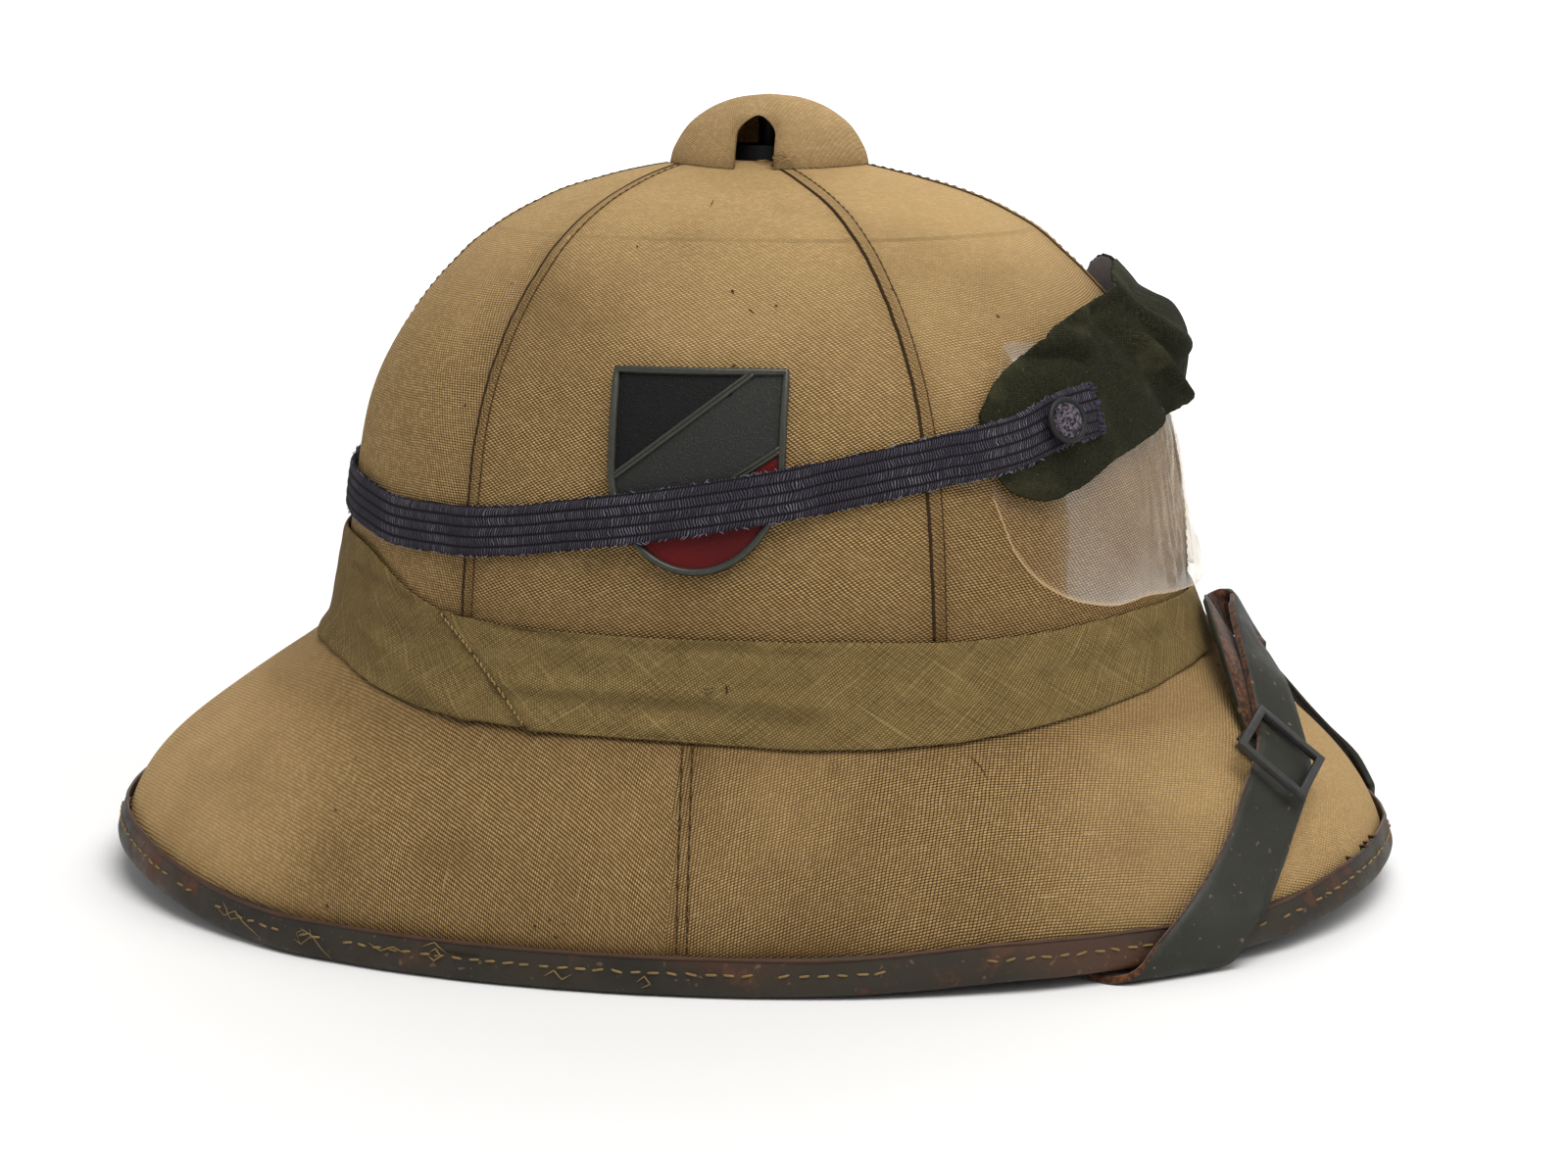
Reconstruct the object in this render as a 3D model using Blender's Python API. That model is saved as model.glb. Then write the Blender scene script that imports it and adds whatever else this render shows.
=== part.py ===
"""Pith helmet with a chin strap and dust goggles.

Metres, +Z up, +X to the front, +Y to the wearer's left.  The helmet rests on its rim,
with the origin on the resting plane below the middle of the rim.
"""
import math

import bmesh
import bpy
from mathutils import Vector

CLEARANCE = 0.0003

# Shell: a crown of six panels on a flared brim
RIM_LENGTH = 0.3372
RIM_WIDTH = 0.266
RIM_FULLNESS = 2.08
# Length along the rim for a degree of turn, as a share of its width
TURN_SHARE = 1.0 / 115.0
CROWN_LENGTH = 0.220
CROWN_WIDTH = 0.184
CROWN_AHEAD = 0.0042
CROWN_FOOT = 0.066
CROWN_RISE = 0.118
SHELL_WALL = 0.003
FRONT_LIFT = 0.005
REAR_LIFT = 0.0088
WELT_WIDTH = 0.0044
WELT_HEIGHT = 0.0009
SEAM_PULL = 0.0094
SEAM_TURNS = (-180, -123, -60, 0, 60, 123)
PANEL_STEPS = 7
FRONT_LIFT_START = 0.80
REAR_LIFT_START = 0.56
STRAP_LIFT_SPAN = (0.2, 0.5)

# Share of the crown's rise, and its reach as a share of the foot's half axes
CROWN_SECTIONS = (
    ("foot", 0.0, 1.010),
    ("band", 0.110, 0.999),
    ("hat line", 0.263, 0.982),
    ("lower", 0.373, 0.964),
    ("middle", 0.487, 0.937),
    ("upper", 0.598, 0.885),
    ("shoulder", 0.708, 0.801),
    ("turn", 0.819, 0.679),
    ("slope", 0.873, 0.593),
    ("top slope", 0.927, 0.474),
    ("cap seat", 0.975, 0.297),
    ("cap edge", 0.990, 0.200),
    ("top", 1.0, 0.060),
)
CROWN_INNER_ROWS = (2, 4, 6, 7, 9, 10)

# Share of the brim's run from the foot to the rim, and of its drop
BRIM_SECTIONS = (
    ("foot", 0.0, 0.0),
    ("cove", 0.16, 0.13),
    ("flare", 0.32, 0.24),
    ("slope", 0.46, 0.345),
    ("middle", 0.60, 0.455),
    ("turn", 0.73, 0.56),
    ("fall", 0.83, 0.66),
    ("lip", 0.91, 0.765),
    ("edge", 0.97, 0.89),
    ("rim", 1.0, 1.0),
)
BRIM_INNER_ROWS = (2, 5, 7, 8)

# Leather binding folded over the rim
BINDING_DEPTH = 0.0072
BINDING_LEATHER = 0.0013
BINDING_ROLL = 0.0005
BINDING_FLAT = 0.0009

# Cloth band round the foot of the crown: turn, top as a share of the crown's rise,
# bottom as a share of the brim's run
BAND_CLOTH = 0.0013
BAND_FULLNESS = 0.0008
BAND_EDGES = (
    (0, 0.080, 0.110),
    (18, 0.085, 0.125),
    (30, 0.083, 0.170),
    (42, 0.072, 0.215),
    (55, 0.066, 0.280),
    (68, 0.072, 0.320),
    (90, 0.078, 0.285),
    (110, 0.079, 0.262),
    (126, 0.082, 0.225),
    (138, 0.139, 0.165),
    (151, 0.200, 0.115),
    (180, 0.205, 0.100),
)

# Ventilating cap over a hole in the crown's top
CAP_DIAMETER = 0.051
CAP_HEIGHT = 0.0160
CAP_WALL = 0.0020
CAP_SINK = 0.0005
CAP_AHEAD = 0.0013
CAP_SEGMENTS = 24
CAP_PROFILE = ((1.0, 0.0), (0.975, 0.16), (0.93, 0.30), (0.82, 0.54), (0.66, 0.735), (0.46, 0.885), (0.24, 0.97))
ARCH_WIDTH = 0.0105
ARCH_HEIGHT = 0.0115
VENT_HOLE = 0.025
VENT_TUBE_WALL = 0.0016
VENT_TUBE_ABOVE = 0.003
VENT_FLANGE = 0.0035
VENT_FLANGE_THICK = 0.0012
VENT_BAR = 0.0040
VENT_POST = 0.0056

# Cast shield on the wearer's right side
BADGE_WIDTH = 0.042
BADGE_HEIGHT = 0.048
BADGE_TURN = -91.0
BADGE_RISE = 0.405
BADGE_PLATE = 0.0012
BADGE_RELIEF = 0.0009
BADGE_RIM = 0.0017
BADGE_RIB = 0.0016
BADGE_TILE = 0.009
# Where the two ribs cross the left and right edge, as shares of the height from the top
BADGE_RIBS = ((0.55, -0.115), (0.95, 0.36))

# Goggles pushed up on the front of the crown
LENS_THICK = 0.0008
LENS_STAND = 0.0005
CLOTH_THICK = 0.0014
ELASTIC_WIDTH = 0.0122
ELASTIC_THICK = 0.0010
RING_DIAMETER = 0.0125
RING_WIRE = 0.0017
RING_SEGMENTS = 12
GOGGLE_END = 53.0
# Turn from the front, lower and upper edge as shares of the crown's rise, and how far
# the lower edge, the middle and the upper edge stand off the crown
CLOTH_SECTIONS = (
    (0.0, 0.470, 0.770, 0.0042, 0.0115, 0.0028),
    (6.0, 0.466, 0.765, 0.0038, 0.0108, 0.0034),
    (11.0, 0.458, 0.745, 0.0030, 0.0090, 0.0046),
    (16.0, 0.440, 0.712, 0.0022, 0.0064, 0.0054),
    (22.0, 0.424, 0.690, 0.0018, 0.0044, 0.0050),
    (30.0, 0.398, 0.660, 0.0016, 0.0026, 0.0030),
    (38.0, 0.352, 0.640, 0.0014, 0.0018, 0.0017),
    (44.0, 0.335, 0.618, 0.0014, 0.0015, 0.0014),
    (49.0, 0.352, 0.585, 0.0014, 0.0014, 0.0014),
    (53.0, 0.420, 0.510, 0.0014, 0.0014, 0.0014),
)
CLOTH_ROWS = (0.0, 0.2, 0.4, 0.6, 0.8, 1.0)
CLOTH_COLUMNS = 24
# Turn from the front, lower and upper edge, and how far the lower edge stands off
LENS_SECTIONS = (
    (6.0, 0.110, 0.600, 0.0012),
    (12.0, 0.102, 0.615, 0.0016),
    (18.0, 0.103, 0.615, 0.0010),
    (24.0, 0.108, 0.620, 0.0006),
    (31.0, 0.102, 0.630, 0.0003),
    (38.0, 0.118, 0.640, 0.0003),
    (44.0, 0.156, 0.645, 0.0003),
    (49.0, 0.230, 0.560, 0.0003),
    (52.0, 0.345, 0.480, 0.0003),
)
LENS_ROWS = (0.0, 0.12, 0.34, 0.56, 0.78, 1.0)
LENS_COLUMNS = 9
# Turn from the front and height of the elastic's middle as a share of the crown's rise
ELASTIC_ROUTE = (
    (31.0, 0.502),
    (39.5, 0.488),
    (48.0, 0.452),
    (61.0, 0.419),
    (80.0, 0.364),
    (102.0, 0.306),
    (124.0, 0.262),
    (138.0, 0.258),
    (149.0, 0.274),
    (165.0, 0.290),
    (180.0, 0.295),
)
ELASTIC_STEP = 4.0
RING_TURN = 39.5

# Chin strap worn up over the front of the brim
STRAP_WIDTH = 0.0155
STRAP_THICK = 0.0018
STRAP_COLUMNS = (-0.5, 0.0, 0.5)
STRAP_PITCH = 0.0075
STRAP_WRAP_PITCH = 0.0015
STRAP_BEND = 0.0085
STRAP_BEND_SQUARENESS = 0.7
STRAP_HUMP = 0.0014
STRAP_HUMP_PITCH = 0.0025
STRAP_HUMP_SPAN = 3.0
STRAP_HUMP_REACH = 4.0
STRAP_BEND_EASE = 2.5
# How far up the strap leaves the binding, as a share of the binding's depth
STRAP_OFF_BINDING = 1.6
TAIL_THICK = 0.0016
TAIL_ASIDE = 0.0052
TAIL_END_ASIDE = 0.0015
TAIL_BACK = 0.0046
TAIL_START = 18.0
TAIL_CLIMB = 0.55
TAIL_HEADING = (5.0, 0.010)
BUCKLE_TURN = 23.3
BUCKLE_CLIMB = 0.510
BUCKLE_LENGTH = 0.0205
BUCKLE_BAR = 0.0019
BUCKLE_THICK = 0.0018
BUCKLE_SIDE_ROOM = 0.0006
RIVET_HEAD = 0.0080
RIVET_THICK = 0.0012
# Turn from the front, climb from under the rim as a share of the brim's slant (up the
# outside, or up the inside where negative), and standing height
RIGHT_ROUTE = (
    (74.0, -1.24, 0.0009),
    (72.5, -1.10, 0.0011),
    (71.0, -0.98, 0.0016),
    (66.0, -0.72, 0.0046),
    (60.5, -0.42, 0.0048),
    (55.0, -0.18, 0.0006),
    (50.5, -0.05, 0.0003),
    (46.8, 0.04, 0.0003),
    (43.8, 0.11, 0.0004),
    (40.3, 0.19, 0.0006),
    (35.5, 0.30, 0.0014),
    (31.0, 0.395, 0.0012),
    (27.0, 0.455, 0.0014),
    (23.3, 0.510, 0.0020),
    (20.0, 0.560, 0.0030),
)
LEFT_ROUTE = (
    (74.0, -1.24, 0.0009),
    (72.0, -1.10, 0.0011),
    (69.5, -0.98, 0.0016),
    (60.5, -0.72, 0.0046),
    (49.0, -0.42, 0.0048),
    (37.5, -0.18, 0.0006),
    (29.5, -0.05, 0.0003),
    (24.5, 0.04, 0.0003),
    (21.0, 0.11, 0.0004),
    (18.0, 0.20, 0.0006),
    (16.2, 0.31, 0.0014),
    (15.8, 0.42, 0.0012),
    (15.6, 0.52, 0.0016),
)
# The strap's rise over the front: how far ahead of the crown's foot and above it, how
# round its top is, how it falls and spreads to the sides, and how far it leans
CREST_AHEAD = 0.0125
CREST_ABOVE = 0.0012
CREST_ROUND = 0.008
CREST_FALL = 0.60
CREST_SPREAD = 0.36
CREST_LEAN = 63.0
CREST_LEAN_EASE = 18.0
CREST_LIE = 20.0
CREST_STATIONS = (0.026, 0.018, 0.009, 0.0)

COLOURS = {
    "canvas": ((0.35, 0.25, 0.13, 1.0), 0.90, 0.0),
    "cloth": ((0.27, 0.20, 0.10, 1.0), 0.90, 0.0),
    "olive": ((0.025, 0.025, 0.014, 1.0), 0.90, 0.0),
    "leather": ((0.04, 0.037, 0.028, 1.0), 0.50, 0.0),
    "steel": ((0.09, 0.09, 0.085, 1.0), 0.45, 1.0),
    "enamel": ((0.06, 0.06, 0.055, 1.0), 0.45, 0.0),
    "elastic": ((0.035, 0.033, 0.045, 1.0), 0.85, 0.0),
    "clear": ((0.80, 0.76, 0.66, 1.0), 0.15, 0.0),
    "black": ((0.01, 0.01, 0.01, 1.0), 0.50, 0.0),
}


def clear_scene():
    for item in list(bpy.data.objects):
        bpy.data.objects.remove(item, do_unlink=True)


def material(name):
    """A Principled material from the colour table, made once."""
    finish = bpy.data.materials.get(name)
    if finish is None:
        colour, roughness, metallic = COLOURS[name]
        finish = bpy.data.materials.new(name)
        finish.use_nodes = True
        shader = finish.node_tree.nodes["Principled BSDF"]
        shader.inputs["Base Color"].default_value = colour
        shader.inputs["Roughness"].default_value = roughness
        shader.inputs["Metallic"].default_value = metallic
    return finish


def smooth_step(low, high, value):
    share = min(max((value - low) / (high - low), 0.0), 1.0)
    return share * share * (3.0 - 2.0 * share)


def curve_through(points):
    """A smooth function through (x, y) points with rising x, without overshoot."""
    slopes = [(b[1] - a[1]) / (b[0] - a[0]) for a, b in zip(points, points[1:])]
    tangents = [slopes[0]]
    for before, after in zip(slopes, slopes[1:]):
        flat = before * after <= 0.0
        tangents.append(0.0 if flat else 2.0 * before * after / (before + after))
    tangents.append(slopes[-1])

    def value(x):
        last = len(points) - 2
        k = 0
        while k < last and x > points[k + 1][0]:
            k += 1
        (x0, y0), (x1, y1) = points[k], points[k + 1]
        span = x1 - x0
        s = min(max((x - x0) / span, 0.0), 1.0)
        return (y0 * (1 + 2 * s) * (1 - s) ** 2 + y1 * s * s * (3 - 2 * s)
                + span * (tangents[k] * s * (1 - s) ** 2 - tangents[k + 1] * s * s * (1 - s)))

    return value


crown_reach = curve_through([(rise, reach) for _, rise, reach in CROWN_SECTIONS])
crown_share = curve_through([(reach, rise) for _, rise, reach in reversed(CROWN_SECTIONS)])
brim_drop = curve_through([(run, drop) for _, run, drop in BRIM_SECTIONS])
band_top = curve_through([(turn, top) for turn, top, _ in BAND_EDGES])
band_foot = curve_through([(turn, foot) for turn, _, foot in BAND_EDGES])


def crown_point(turn, rise, out=0.0):
    """A point of the crown's outer face; turn in degrees from the front, to the left."""
    a = math.radians(turn)
    half = Vector((CROWN_LENGTH / 2, CROWN_WIDTH / 2))
    reach = crown_reach(rise)
    spot = Vector((CROWN_AHEAD + half.x * reach * math.cos(a), half.y * reach * math.sin(a),
                   CROWN_FOOT + CROWN_RISE * rise))
    if out:
        low, high = max(rise - 0.02, 0.0), min(rise + 0.02, 1.0)
        lean = (crown_reach(high) - crown_reach(low)) / (high - low) / CROWN_RISE
        normal = Vector((math.cos(a) / half.x, math.sin(a) / half.y, -lean)).normalized()
        spot += out * normal
    return spot


def crown_height(x, y):
    """Height of the crown's outer face above a point of the plan, near its top."""
    reach = math.hypot((x - CROWN_AHEAD) / (CROWN_LENGTH / 2), y / (CROWN_WIDTH / 2))
    return CROWN_FOOT + CROWN_RISE * crown_share(reach)


def rim_lift(x):
    """How far the rim's underside is raised: flat along the sides, rising to both tips."""
    share = x / (RIM_LENGTH / 2)
    under_strap = (STRAP_THICK + 3 * CLEARANCE) * smooth_step(*STRAP_LIFT_SPAN, share)
    front = FRONT_LIFT * smooth_step(FRONT_LIFT_START, 1.0, share)
    return under_strap + front + REAR_LIFT * smooth_step(REAR_LIFT_START, 1.0, -share)


def rim_edge(turn):
    """Lower edge of the brim's outer face."""
    a = math.radians(turn)
    inset = BINDING_LEATHER + BINDING_ROLL + CLEARANCE
    cos, sin = abs(math.cos(a)), abs(math.sin(a))
    swell = (cos ** RIM_FULLNESS + sin ** RIM_FULLNESS) ** (-1.0 / RIM_FULLNESS)
    x = (RIM_LENGTH / 2 - inset) * math.cos(a) * swell
    y = (RIM_WIDTH / 2 - inset) * math.sin(a) * swell
    return Vector((x, y, rim_lift(x) + BINDING_LEATHER + CLEARANCE))


def brim_base(turn, run):
    foot, edge = crown_point(turn, 0.0), rim_edge(turn)
    foot.z -= CLEARANCE
    spot = foot.lerp(edge, run)
    spot.z = foot.z + (edge.z - foot.z) * brim_drop(run)
    return spot


def brim_normal(turn, run):
    along = brim_base(turn + 0.5, run) - brim_base(turn - 0.5, run)
    low, high = max(run - 0.02, 0.0), min(run + 0.02, 1.0)
    down = brim_base(turn, high) - brim_base(turn, low)
    return down.cross(along).normalized()


def brim_point(turn, run, out=0.0):
    """A point of the brim's outer face, or a height above it."""
    return brim_base(turn, run) + (brim_normal(turn, run) * out if out else Vector())


def outward(turn):
    """Level direction square to the rim."""
    along = rim_edge(turn + 0.5) - rim_edge(turn - 0.5)
    return Vector((along.y, -along.x, 0.0)).normalized()


def brim_inner_edge(turn):
    """Lower edge of the brim's inner face, level with the outer one."""
    normal = brim_normal(turn, 1.0)
    return rim_edge(turn) - outward(turn) * SHELL_WALL / max(math.hypot(normal.x, normal.y), 0.5)


def make_object(name, mesh_data, finish):
    """Close the bmesh, point its faces outwards and make a named object of it."""
    bmesh.ops.recalc_face_normals(mesh_data, faces=mesh_data.faces)
    mesh = bpy.data.meshes.new(name)
    mesh_data.to_mesh(mesh)
    mesh_data.free()
    mesh.shade_smooth()
    mesh.set_sharp_from_angle(angle=math.radians(40))
    item = bpy.data.objects.new(name, mesh)
    item.data.materials.append(material(finish))
    bpy.context.scene.collection.objects.link(item)
    return item


def ring_solid(name, sections, finish):
    """A closed ring through sections that are closed loops of as many points."""
    data = bmesh.new()
    loops = [[data.verts.new(spot) for spot in section] for section in sections]
    count = len(loops[0])
    for here, there in zip(loops, loops[1:] + loops[:1]):
        for k in range(count):
            after = (k + 1) % count
            data.faces.new((here[k], here[after], there[after], there[k]))
    return make_object(name, data, finish)


def sheet_solid(name, inner, outer, finish):
    """A closed sheet between two grids of points, rows of columns."""
    data = bmesh.new()
    low = [[data.verts.new(spot) for spot in row] for row in inner]
    high = [[data.verts.new(spot) for spot in row] for row in outer]
    rows, columns = len(low), len(low[0])
    for r in range(rows - 1):
        for c in range(columns - 1):
            data.faces.new((high[r][c], high[r][c + 1], high[r + 1][c + 1], high[r + 1][c]))
            data.faces.new((low[r][c], low[r + 1][c], low[r + 1][c + 1], low[r][c + 1]))
    border = [(0, c) for c in range(columns)] + [(r, columns - 1) for r in range(1, rows)]
    border += [(rows - 1, c) for c in range(columns - 2, -1, -1)]
    border += [(r, 0) for r in range(rows - 2, 0, -1)]
    for (r0, c0), (r1, c1) in zip(border, border[1:] + border[:1]):
        data.faces.new((low[r0][c0], low[r1][c1], high[r1][c1], high[r0][c0]))
    return make_object(name, data, finish)


def arc_scale(turn, reach):
    """Metres along the crown's section for one degree of turn."""
    a = math.radians(turn)
    across = math.hypot(CROWN_LENGTH / 2 * math.sin(a), CROWN_WIDTH / 2 * math.cos(a))
    return reach * across * math.radians(1.0)


def panel_turns(reach, half_length):
    """Turns of one row of crown points: four at each seam and even ones in the panels."""
    edges = []
    for seam in SEAM_TURNS:
        pull = SEAM_PULL * math.sin(math.radians(seam)) * (1.0 - reach) / (reach * half_length)
        turn = seam + math.degrees(math.asin(min(max(pull, -0.5), 0.5)))
        width = WELT_WIDTH / arc_scale(turn, reach)
        edges.append((turn, width))
    turns = []
    for k, (turn, width) in enumerate(edges):
        turns += [(turn + width * share, lift) for share, lift in ((-0.5, 0), (-0.22, 1), (0.22, 1), (0.5, 0))]
        after, after_width = edges[(k + 1) % len(edges)]
        if k + 1 == len(edges):
            after += 360.0
        start, stop = turn + width / 2, after - after_width / 2
        turns += [(start + (stop - start) * s / PANEL_STEPS, 0) for s in range(1, PANEL_STEPS)]
    return turns


def welt_lift(turn, rise):
    """Height of a seam's welt, which fades out at the cloth band and at the cap."""
    top = band_top(abs((turn + 180.0) % 360.0 - 180.0))
    fade_out = 1.0 - smooth_step(0.955, 0.974, rise)
    return WELT_HEIGHT * smooth_step(top + 0.06, top + 0.12, rise) * fade_out


def vent_ring(turn, radius, z):
    a = math.radians(turn)
    return Vector((CROWN_AHEAD + CAP_AHEAD + radius * math.cos(a), radius * math.sin(a), z))


def build_crown():
    """Hollow dome of six panels with raised seams and a round hole at its top."""
    rows = []
    for _, rise, reach in CROWN_SECTIONS[:-1]:
        turns = panel_turns(reach, CROWN_LENGTH / 2)
        rows.append([(turn, rise, lift * welt_lift(turn, rise)) for turn, lift in turns])
    top = CROWN_FOOT + CROWN_RISE * crown_share(VENT_HOLE / 2 / (CROWN_LENGTH / 2))
    sections = []
    for k in range(len(rows[0])):
        outer = [crown_point(*row[k]) for row in rows]
        hole_turn = rows[-1][k][0]
        section = outer + [vent_ring(hole_turn, VENT_HOLE / 2, top)]
        section.append(vent_ring(hole_turn, VENT_HOLE / 2, top - SHELL_WALL))
        for r in reversed(CROWN_INNER_ROWS):
            turn, rise, _ = rows[r][k]
            section.append(crown_point(turn, rise, -SHELL_WALL))
        foot = crown_point(rows[0][k][0], 0.0, -SHELL_WALL)
        foot.z = CROWN_FOOT
        section.append(foot)
        sections.append(section)
    return ring_solid("crown", sections, "canvas")


def ring_turns():
    return [turn for turn, _ in panel_turns(CROWN_SECTIONS[0][2], CROWN_LENGTH / 2)]


def build_brim():
    """Flared brim hanging from the crown's foot, cut level at its lower edge."""
    sections = []
    for turn in ring_turns():
        section = [brim_point(turn, run) for _, run, _ in BRIM_SECTIONS]
        section.append(brim_inner_edge(turn))
        for r in reversed(BRIM_INNER_ROWS):
            section.append(brim_point(turn, BRIM_SECTIONS[r][1], -SHELL_WALL))
        foot = crown_point(turn, 0.0, -SHELL_WALL)
        foot.z = CROWN_FOOT - CLEARANCE
        section.append(foot)
        sections.append(section)
    return ring_solid("brim", sections, "canvas")


def build_binding():
    """Leather strip folded over the rim, with a flat underside that the helmet rests on."""
    near, far = CLEARANCE, CLEARANCE + BINDING_LEATHER
    sections = []
    for turn in ring_turns():
        edge, inner_edge, level = rim_edge(turn), brim_inner_edge(turn), outward(turn)
        top = run_above_rim(turn, BINDING_DEPTH)
        middle = run_above_rim(turn, BINDING_DEPTH / 2)
        base = rim_lift(edge.x)
        flat_out = edge + level * BINDING_FLAT
        flat_in = inner_edge - level * BINDING_FLAT
        flat_out.z = flat_in.z = base
        seat_out = edge + level * near
        seat_in = inner_edge - level * near
        seat_out.z = seat_in.z = edge.z - near
        sections.append([
            brim_point(turn, top, near),
            brim_point(turn, top, far),
            brim_point(turn, middle, far),
            edge + level * (far + BINDING_ROLL),
            flat_out,
            flat_in,
            inner_edge - level * (far + BINDING_ROLL),
            brim_point(turn, middle, -SHELL_WALL - far),
            brim_point(turn, top, -SHELL_WALL - far),
            brim_point(turn, top, -SHELL_WALL - near),
            seat_in,
            seat_out,
        ])
    return ring_solid("rim_binding", sections, "leather")


def build_band():
    """Bias cloth band that covers the joint of crown and brim, bridging the hollow there."""
    sections = []
    for turn in ring_turns():
        side = abs((turn + 180.0) % 360.0 - 180.0)
        top, foot = band_top(side), band_foot(side)
        thick, full = BAND_CLOTH + CLEARANCE, BAND_CLOTH + BAND_FULLNESS + CLEARANCE
        sections.append([
            crown_point(turn, top, CLEARANCE),
            crown_point(turn, top, thick),
            crown_point(turn, top * 0.62, full),
            crown_point(turn, top * 0.25, full + BAND_FULLNESS),
            brim_point(turn, foot * 0.30, full + BAND_FULLNESS),
            brim_point(turn, foot * 0.66, full),
            brim_point(turn, foot, thick),
            brim_point(turn, foot, CLEARANCE),
            brim_point(turn, foot * 0.45, CLEARANCE + BAND_FULLNESS),
            crown_point(turn, top * 0.55, CLEARANCE),
        ])
    return ring_solid("pagri_band", sections, "cloth")


def turned(name, profile, centre, segments, finish):
    """A solid of revolution about a vertical axis, from a closed profile of (radius, z)."""
    data = bmesh.new()
    loops = []
    for k in range(segments):
        a = 2.0 * math.pi * k / segments
        loops.append([data.verts.new(centre + Vector((r * math.cos(a), r * math.sin(a), z))) for r, z in profile])
    count = len(profile)
    for here, there in zip(loops, loops[1:] + loops[:1]):
        for k in range(count):
            after = (k + 1) % count
            data.faces.new((here[k], here[after], there[after], there[k]))
    return make_object(name, data, finish)


def apply_boolean(item, tool, operation):
    """Join or cut with another object, apply the result and remove the tool."""
    step = item.modifiers.new(operation.lower(), "BOOLEAN")
    step.operation = operation
    step.object = tool
    bpy.context.view_layer.update()
    shaped = bpy.data.meshes.new_from_object(item.evaluated_get(bpy.context.evaluated_depsgraph_get()))
    item.modifiers.clear()
    item.data = shaped
    bpy.data.objects.remove(tool, do_unlink=True)


def box_object(name, low, high, finish):
    data = bmesh.new()
    bmesh.ops.create_cube(data, size=1.0)
    for vert in data.verts:
        vert.co = Vector([low[k] if vert.co[k] < 0 else high[k] for k in range(3)])
    return make_object(name, data, finish)


def arch_cutter(seat):
    """Round-headed passage right through the cap, from side to side."""
    half = ARCH_WIDTH / 2
    spring = seat + ARCH_HEIGHT - half
    outline = [(-half, seat - ARCH_HEIGHT), (half, seat - ARCH_HEIGHT)]
    outline += [(half * math.cos(math.radians(a)), spring + half * math.sin(math.radians(a)))
                for a in range(0, 181, 20)]
    data = bmesh.new()
    ends = []
    for y in (-CAP_DIAMETER, CAP_DIAMETER):
        ends.append([data.verts.new((CROWN_AHEAD + CAP_AHEAD + x, y, z)) for x, z in outline])
    data.faces.new(ends[0])
    data.faces.new(ends[1][::-1])
    for k in range(len(outline)):
        after = (k + 1) % len(outline)
        data.faces.new((ends[0][k], ends[0][after], ends[1][after], ends[1][k]))
    cutter = make_object("arch_cutter", data, "black")
    cutter.hide_render = True
    cutter.display_type = "WIRE"
    return cutter


def build_cap():
    """Domed cap whose edge follows the crown, with an arched opening on each side."""
    radius, seat = CAP_DIAMETER / 2, CROWN_FOOT + CROWN_RISE - CAP_SINK
    sections = []
    for k in range(CAP_SEGMENTS):
        turn = 360.0 * k / CAP_SEGMENTS
        foot = vent_ring(turn, radius, 0.0)
        low = crown_height(foot.x, foot.y) + CLEARANCE
        inner_foot = vent_ring(turn, radius - CAP_WALL, 0.0)
        inner_low = crown_height(inner_foot.x, inner_foot.y) + CLEARANCE
        section = []
        for share, rise in CAP_PROFILE:
            z = low + (seat + CAP_HEIGHT - low) * rise
            section.append(vent_ring(turn, radius * share, z))
        for share, rise in reversed(CAP_PROFILE[2::2]):
            z = inner_low + (seat + CAP_HEIGHT - CAP_WALL - inner_low) * rise
            section.append(vent_ring(turn, (radius - CAP_WALL) * share, z))
        section.append(vent_ring(turn, radius - CAP_WALL, inner_low))
        sections.append(section)
    data = bmesh.new()
    loops = [[data.verts.new(spot) for spot in section] for section in sections]
    outer_count = len(CAP_PROFILE)
    count = len(loops[0])
    for here, there in zip(loops, loops[1:] + loops[:1]):
        for k in range(count):
            if k == outer_count - 1:
                continue
            after = (k + 1) % count
            data.faces.new((here[k], here[after], there[after], there[k]))
    centre = Vector((CROWN_AHEAD + CAP_AHEAD, 0.0, 0.0))
    for k, top in ((outer_count - 1, seat + CAP_HEIGHT), (outer_count, seat + CAP_HEIGHT - CAP_WALL)):
        pole = data.verts.new(centre + Vector((0.0, 0.0, top)))
        for here, there in zip(loops, loops[1:] + loops[:1]):
            data.faces.new((here[k], there[k], pole))
    cap = make_object("vent_cap", data, "canvas")
    apply_boolean(cap, arch_cutter(seat), "DIFFERENCE")
    return cap


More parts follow.
